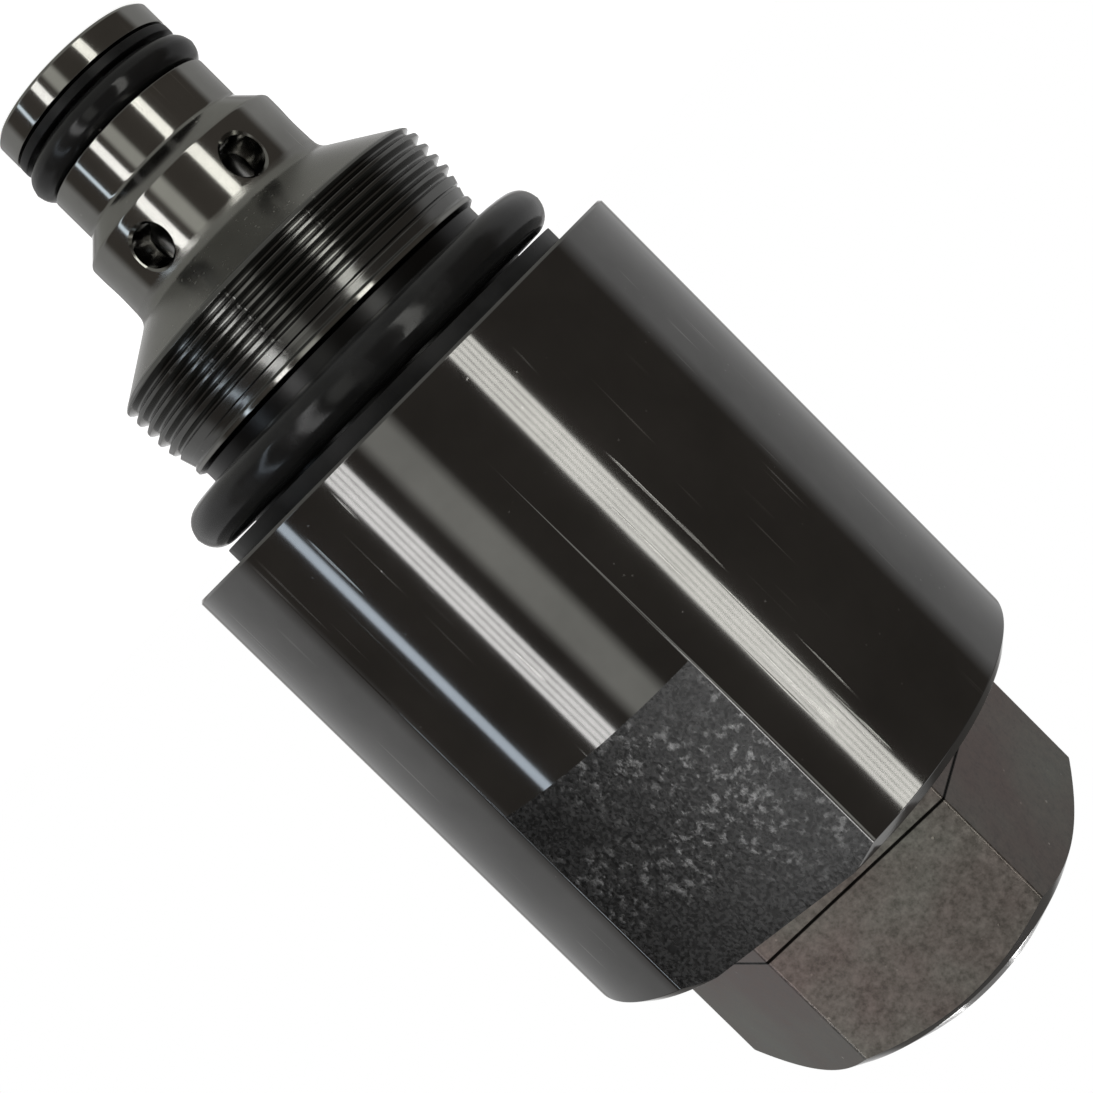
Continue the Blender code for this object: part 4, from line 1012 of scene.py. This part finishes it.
class CARTRIDGE_OT_lock(PieceOperator, bpy.types.Operator):
    """Make the lock nut and its washer"""

    bl_idname = "cartridge.lock"
    bl_label = "Lock nut"

    def make(self, sizes):
        washer = [(4.25, 46.45, 0.08), (7.4, 46.45, 0.1), (7.4, 47.25, 0.1), (4.25, 47.25, 0.08)]
        turned_piece("soft_washer", washer, "lock_washer", "soft_aluminium", "lock_washer")
        outline = [
            (4.25, 47.5, 0.15), (6.3, 47.5, 0.1), (7.6, 48.1), (7.6, 50.7), (6.3, 51.3, 0.1),
            (4.25, 51.3, 0.15),
        ]
        nut = linked("thin_nut", lathed("thin_nut", rounded(outline), sizes.sides))
        shape_by(nut, [prism("nut_hexagon", 13.0, 46.0, 53.0, 0.2)], "INTERSECT")
        smooth(nut)
        settle(nut, "lock_nut", "hard_steel", ["lock_nut"])


class CARTRIDGE_OT_cap(PieceOperator, bpy.types.Operator):
    """Make the domed hexagonal cap and the soft seal under it"""

    bl_idname = "cartridge.cap"
    bl_label = "Cap"

    def make(self, sizes):
        seal = [(10.3, 42.75, 0.08), (11.7, 42.75, 0.08), (11.7, 43.4, 0.08), (10.3, 43.4, 0.08)]
        turned_piece("soft_cap_seal", seal, "cap_seal", "soft_aluminium", "cap_seal")
        outline = [
            (12.0, 42.5, 0.1), (16.6, 42.5), (16.6, 50.9), (15.588, 51.6, 0.6),
            (12.6, 53.85, 2.5), (9.6, 55.6, 0.8), (5.7, 56.0, 0.8), (0, 56.0), (0, 54.2),
            (6.0, 54.2), (9.0, 52.4), (9.0, 46.5), (10.0, 46.5), (10.0, 43.7), (12.0, 43.7),
        ]
        cap = linked("domed_cap", lathed("domed_cap", rounded(outline), sizes.sides))
        shape_by(cap, [prism("cap_hexagon", HEX_ACROSS, 42.0, 58.0, sizes.hex_edge)], "INTERSECT")
        smooth(cap)
        settle(cap, "cap", "cap_steel", ["cap_nut"], "cap_dome")
        for face in cap.data.polygons:
            turned = face.center.z > 51.0 * MM and face.normal.z > 0.12
            face.material_index = 1 if turned else 0


# ---------------------------------------------------------------- stage


# The room round the table: dark walls with a few soft screens in front of them. A screen's middle and
# half width are angles from the camera's side, and its edge fades out over the third angle.
WALL = (0.10, 0.09, 0.08)
SCREENS = {
    "left_screen": (-130, 25, 10, (0.45, 0.45, 0.45)),
    "right_screen": (130, 25, 10, (0.45, 0.45, 0.45)),
    "back_window": (180, 10, 10, (0.90, 0.90, 0.90)),
    "front_panel": (-15, 5, 5, (0.80, 0.80, 0.75)),
}
# Rows of long tubes: angle from the camera's side, width in degrees, tubes, strength, colour
STRIPS = [
    ("left_strip", -36.9, 10.6, 4, 1.15, (1.0, 1.0, 1.0)),
    ("right_strip", 30.6, 12.0, 5, 1.10, (1.0, 1.0, 0.95)),
    ("cool_strip", -69.3, 5.6, 1, 0.75, (0.75, 0.87, 1.0)),
]
TUBE_SHARE = 0.78
# Lamps high behind the object: angle from the camera's side
BACK_LAMPS = [("right_back_lamp", 176), ("left_back_lamp", 184)]
LAMP_RISE = 40.0
LAMP_WIDTH = 2.0
LAMP_HEIGHT = 0.06
LAMP_SHARE = 2.0
STRIP_DISTANCE = 0.8
STRIP_HEIGHT = 1.3
CEILING = (0.10, 0.095, 0.09, 1.0)
TOP_LIGHT = (0.9, 0.9, 0.9, 1.0)
BELOW = (0.34, 0.34, 0.32, 1.0)
# The floor, in metres: its radius, and how far it lies below the object
FLOOR_RADIUS = 4.0
FLOOR_GAP = 0.0001
# The camera: distance in metres, tilt, roll, lens in millimetres, and shift along both sides
CAMERA_DISTANCE = 0.1254
CAMERA_TILT = radians(3.5)
CAMERA_ROLL = radians(45.3)
CAMERA_LENS = 58.6
CAMERA_SHIFT = 0.0636


class CARTRIDGE_OT_stage(bpy.types.Operator):
    """Make the pale floor, the room, the rows of tubes, the lamps and the camera"""

    bl_idname = "cartridge.stage"
    bl_label = "Stage"

    def execute(self, context):
        look = context.scene.cartridge_stage
        self.make_floor(look)
        self.make_room(look)
        for name, angle, width, tubes, share, tint in STRIPS:
            pitch = width / tubes
            for k in range(tubes):
                middle = angle - width / 2 + pitch * (k + 0.5)
                strength = share * look.strip_light
                self.make_strip(f"{name}_{k}", middle, pitch * TUBE_SHARE, strength, tint)
        for name, angle in BACK_LAMPS:
            strength = LAMP_SHARE * look.strip_light
            white = (1.0, 1.0, 1.0)
            self.make_strip(name, angle, LAMP_WIDTH, strength, white, LAMP_RISE, LAMP_HEIGHT)
        self.make_camera()
        context.scene.view_settings.view_transform = "Standard"
        return {"FINISHED"}

    def make_floor(self, look):
        form = bmesh.new()
        bmesh.ops.create_circle(form, cap_ends=True, segments=96, radius=FLOOR_RADIUS)
        level = Matrix.Translation((0, 0, CAD_BOX[0].z - FLOOR_GAP))
        bmesh.ops.transform(form, matrix=level, verts=form.verts)
        floor = linked("floor", mesh_of("floor", form))
        material, tree, shader, place = blank_finish("pale_floor")
        cloud = tree.noise(place, 6, 3.0)
        base = tree.blend(cloud, rgba(look.floor), rgba(look.floor, 0.97))
        tree.join(base, shader.inputs["Base Color"])
        tree.join(base, shader.inputs["Emission Color"])
        shader.inputs["Emission Strength"].default_value = 1.0
        shader.inputs["Roughness"].default_value = 0.9
        floor.data.materials.append(material)
        floor.visible_glossy = False
        floor.visible_shadow = False

    def make_room(self, look):
        world = bpy.data.worlds.new("studio_room")
        world.use_nodes = True
        bpy.context.scene.world = world
        nodes = world.node_tree.nodes
        tree = Tree(world.node_tree)
        way = tree.add("ShaderNodeTexCoord", output="Generated")
        split = nodes.new("ShaderNodeSeparateXYZ")
        tree.join(way, split.inputs[0])
        x, y, z = split.outputs
        angle = tree.math("SUBTRACT", CAMERA_TURN, tree.math("ARCTAN2", y, x))
        walls = rgba(WALL)
        for middle, half, fade, color in SCREENS.values():
            off = tree.math("WRAP", tree.math("SUBTRACT", angle, radians(middle)), pi, -pi)
            off = tree.math("ABSOLUTE", off)
            there = tree.ramp(off, radians(half), radians(half + fade), 1.0, 0.0)
            walls = tree.blend(there, walls, rgba(color))
        high = tree.ramp(z, 0.42, 0.60)
        top = tree.ramp(z, 0.86, 0.94)
        low = tree.ramp(z, -0.42, -0.62)
        walls = tree.blend(high, walls, CEILING)
        walls = tree.blend(top, walls, TOP_LIGHT)
        walls = tree.blend(low, walls, BELOW)
        room = tree.add("ShaderNodeBackground", {"Color": walls, "Strength": look.room_light})
        paper = tree.add("ShaderNodeBackground", {"Color": (1.0, 1.0, 1.0, 1.0)})
        seen = tree.add("ShaderNodeLightPath", output="Is Camera Ray")
        mixed = tree.add("ShaderNodeMixShader", {0: seen, 1: room, 2: paper})
        tree.join(mixed, nodes["World Output"].inputs["Surface"])

    def make_strip(self, name, degrees, width, strength, tint, rise=0.0, height=STRIP_HEIGHT):
        angle = CAMERA_TURN - radians(degrees)
        climb = radians(rise)
        way = Vector((cos(angle) * cos(climb), sin(angle) * cos(climb), sin(climb)))
        light = bpy.data.lights.new(name, "AREA")
        light.shape = "RECTANGLE"
        light.size = 2 * STRIP_DISTANCE * tan(radians(width / 2))
        light.size_y = height
        light.energy = strength * pi * light.size * light.size_y
        light.color = tint
        obj = linked(name, light)
        obj.location = way * STRIP_DISTANCE
        obj.rotation_euler = way.to_track_quat("Z", "Y").to_euler()
        obj.visible_camera = False

    def make_camera(self):
        data = bpy.data.cameras.new("camera")
        data.sensor_width = 36.0
        data.lens = CAMERA_LENS
        data.shift_x = CAMERA_SHIFT
        data.shift_y = -CAMERA_SHIFT
        data.clip_start = 0.005
        data.clip_end = 50.0
        camera = linked("camera", data)
        back = Vector((cos(CAMERA_TURN), sin(CAMERA_TURN), 0))
        forward = -back * cos(CAMERA_TILT) + Vector((0, 0, sin(CAMERA_TILT)))
        side = forward.cross(Vector((0, 0, -1))).normalized()
        nose = side.cross(forward)
        up = nose * cos(CAMERA_ROLL) + side * sin(CAMERA_ROLL)
        right = side * cos(CAMERA_ROLL) - nose * sin(CAMERA_ROLL)
        turn = Matrix((right, up, -forward)).transposed().to_4x4()
        camera.matrix_world = Matrix.Translation(back * CAMERA_DISTANCE) @ turn
        bpy.context.scene.camera = camera


class CARTRIDGE_PT_pieces(bpy.types.Panel):
    """Lists the pieces and the stage in the order in which they are made"""

    bl_idname = "CARTRIDGE_PT_pieces"
    bl_label = "Relief cartridge"
    bl_space_type = "VIEW_3D"
    bl_region_type = "UI"
    bl_category = "Cartridge"

    def draw(self, context):
        for operator in OPERATORS:
            self.layout.operator(operator.bl_idname)
        for group in (context.scene.cartridge_sizes, context.scene.cartridge_finishes,
                      context.scene.cartridge_stage):
            box = self.layout.box()
            for name in group.bl_rna.properties.keys():
                if name not in ("rna_type", "name"):
                    box.prop(group, name)


OPERATORS = [
    CARTRIDGE_OT_cage,
    CARTRIDGE_OT_seals,
    CARTRIDGE_OT_main_stage,
    CARTRIDGE_OT_pilot_stage,
    CARTRIDGE_OT_barrel,
    CARTRIDGE_OT_adjuster,
    CARTRIDGE_OT_end_plug,
    CARTRIDGE_OT_lock,
    CARTRIDGE_OT_cap,
    CARTRIDGE_OT_stage,
]
GROUPS = {
    "cartridge_sizes": CartridgeSizes,
    "cartridge_finishes": CartridgeFinishes,
    "cartridge_stage": CartridgeStage,
}


def register():
    for cls in [*GROUPS.values(), *OPERATORS, CARTRIDGE_PT_pieces]:
        bpy.utils.register_class(cls)
    for name, cls in GROUPS.items():
        setattr(bpy.types.Scene, name, PointerProperty(type=cls))


def unregister():
    for name in GROUPS:
        delattr(bpy.types.Scene, name)
    for cls in [CARTRIDGE_PT_pieces, *reversed(OPERATORS), *reversed(GROUPS.values())]:
        bpy.utils.unregister_class(cls)


def main():
    register()
    bpy.ops.cartridge.cage()
    bpy.ops.cartridge.seals()
    bpy.ops.cartridge.main_stage()
    bpy.ops.cartridge.pilot_stage()
    bpy.ops.cartridge.barrel()
    bpy.ops.cartridge.adjuster()
    bpy.ops.cartridge.end_plug()
    bpy.ops.cartridge.lock()
    bpy.ops.cartridge.cap()
    bpy.ops.cartridge.stage()


if __name__ == "__main__":
    main()
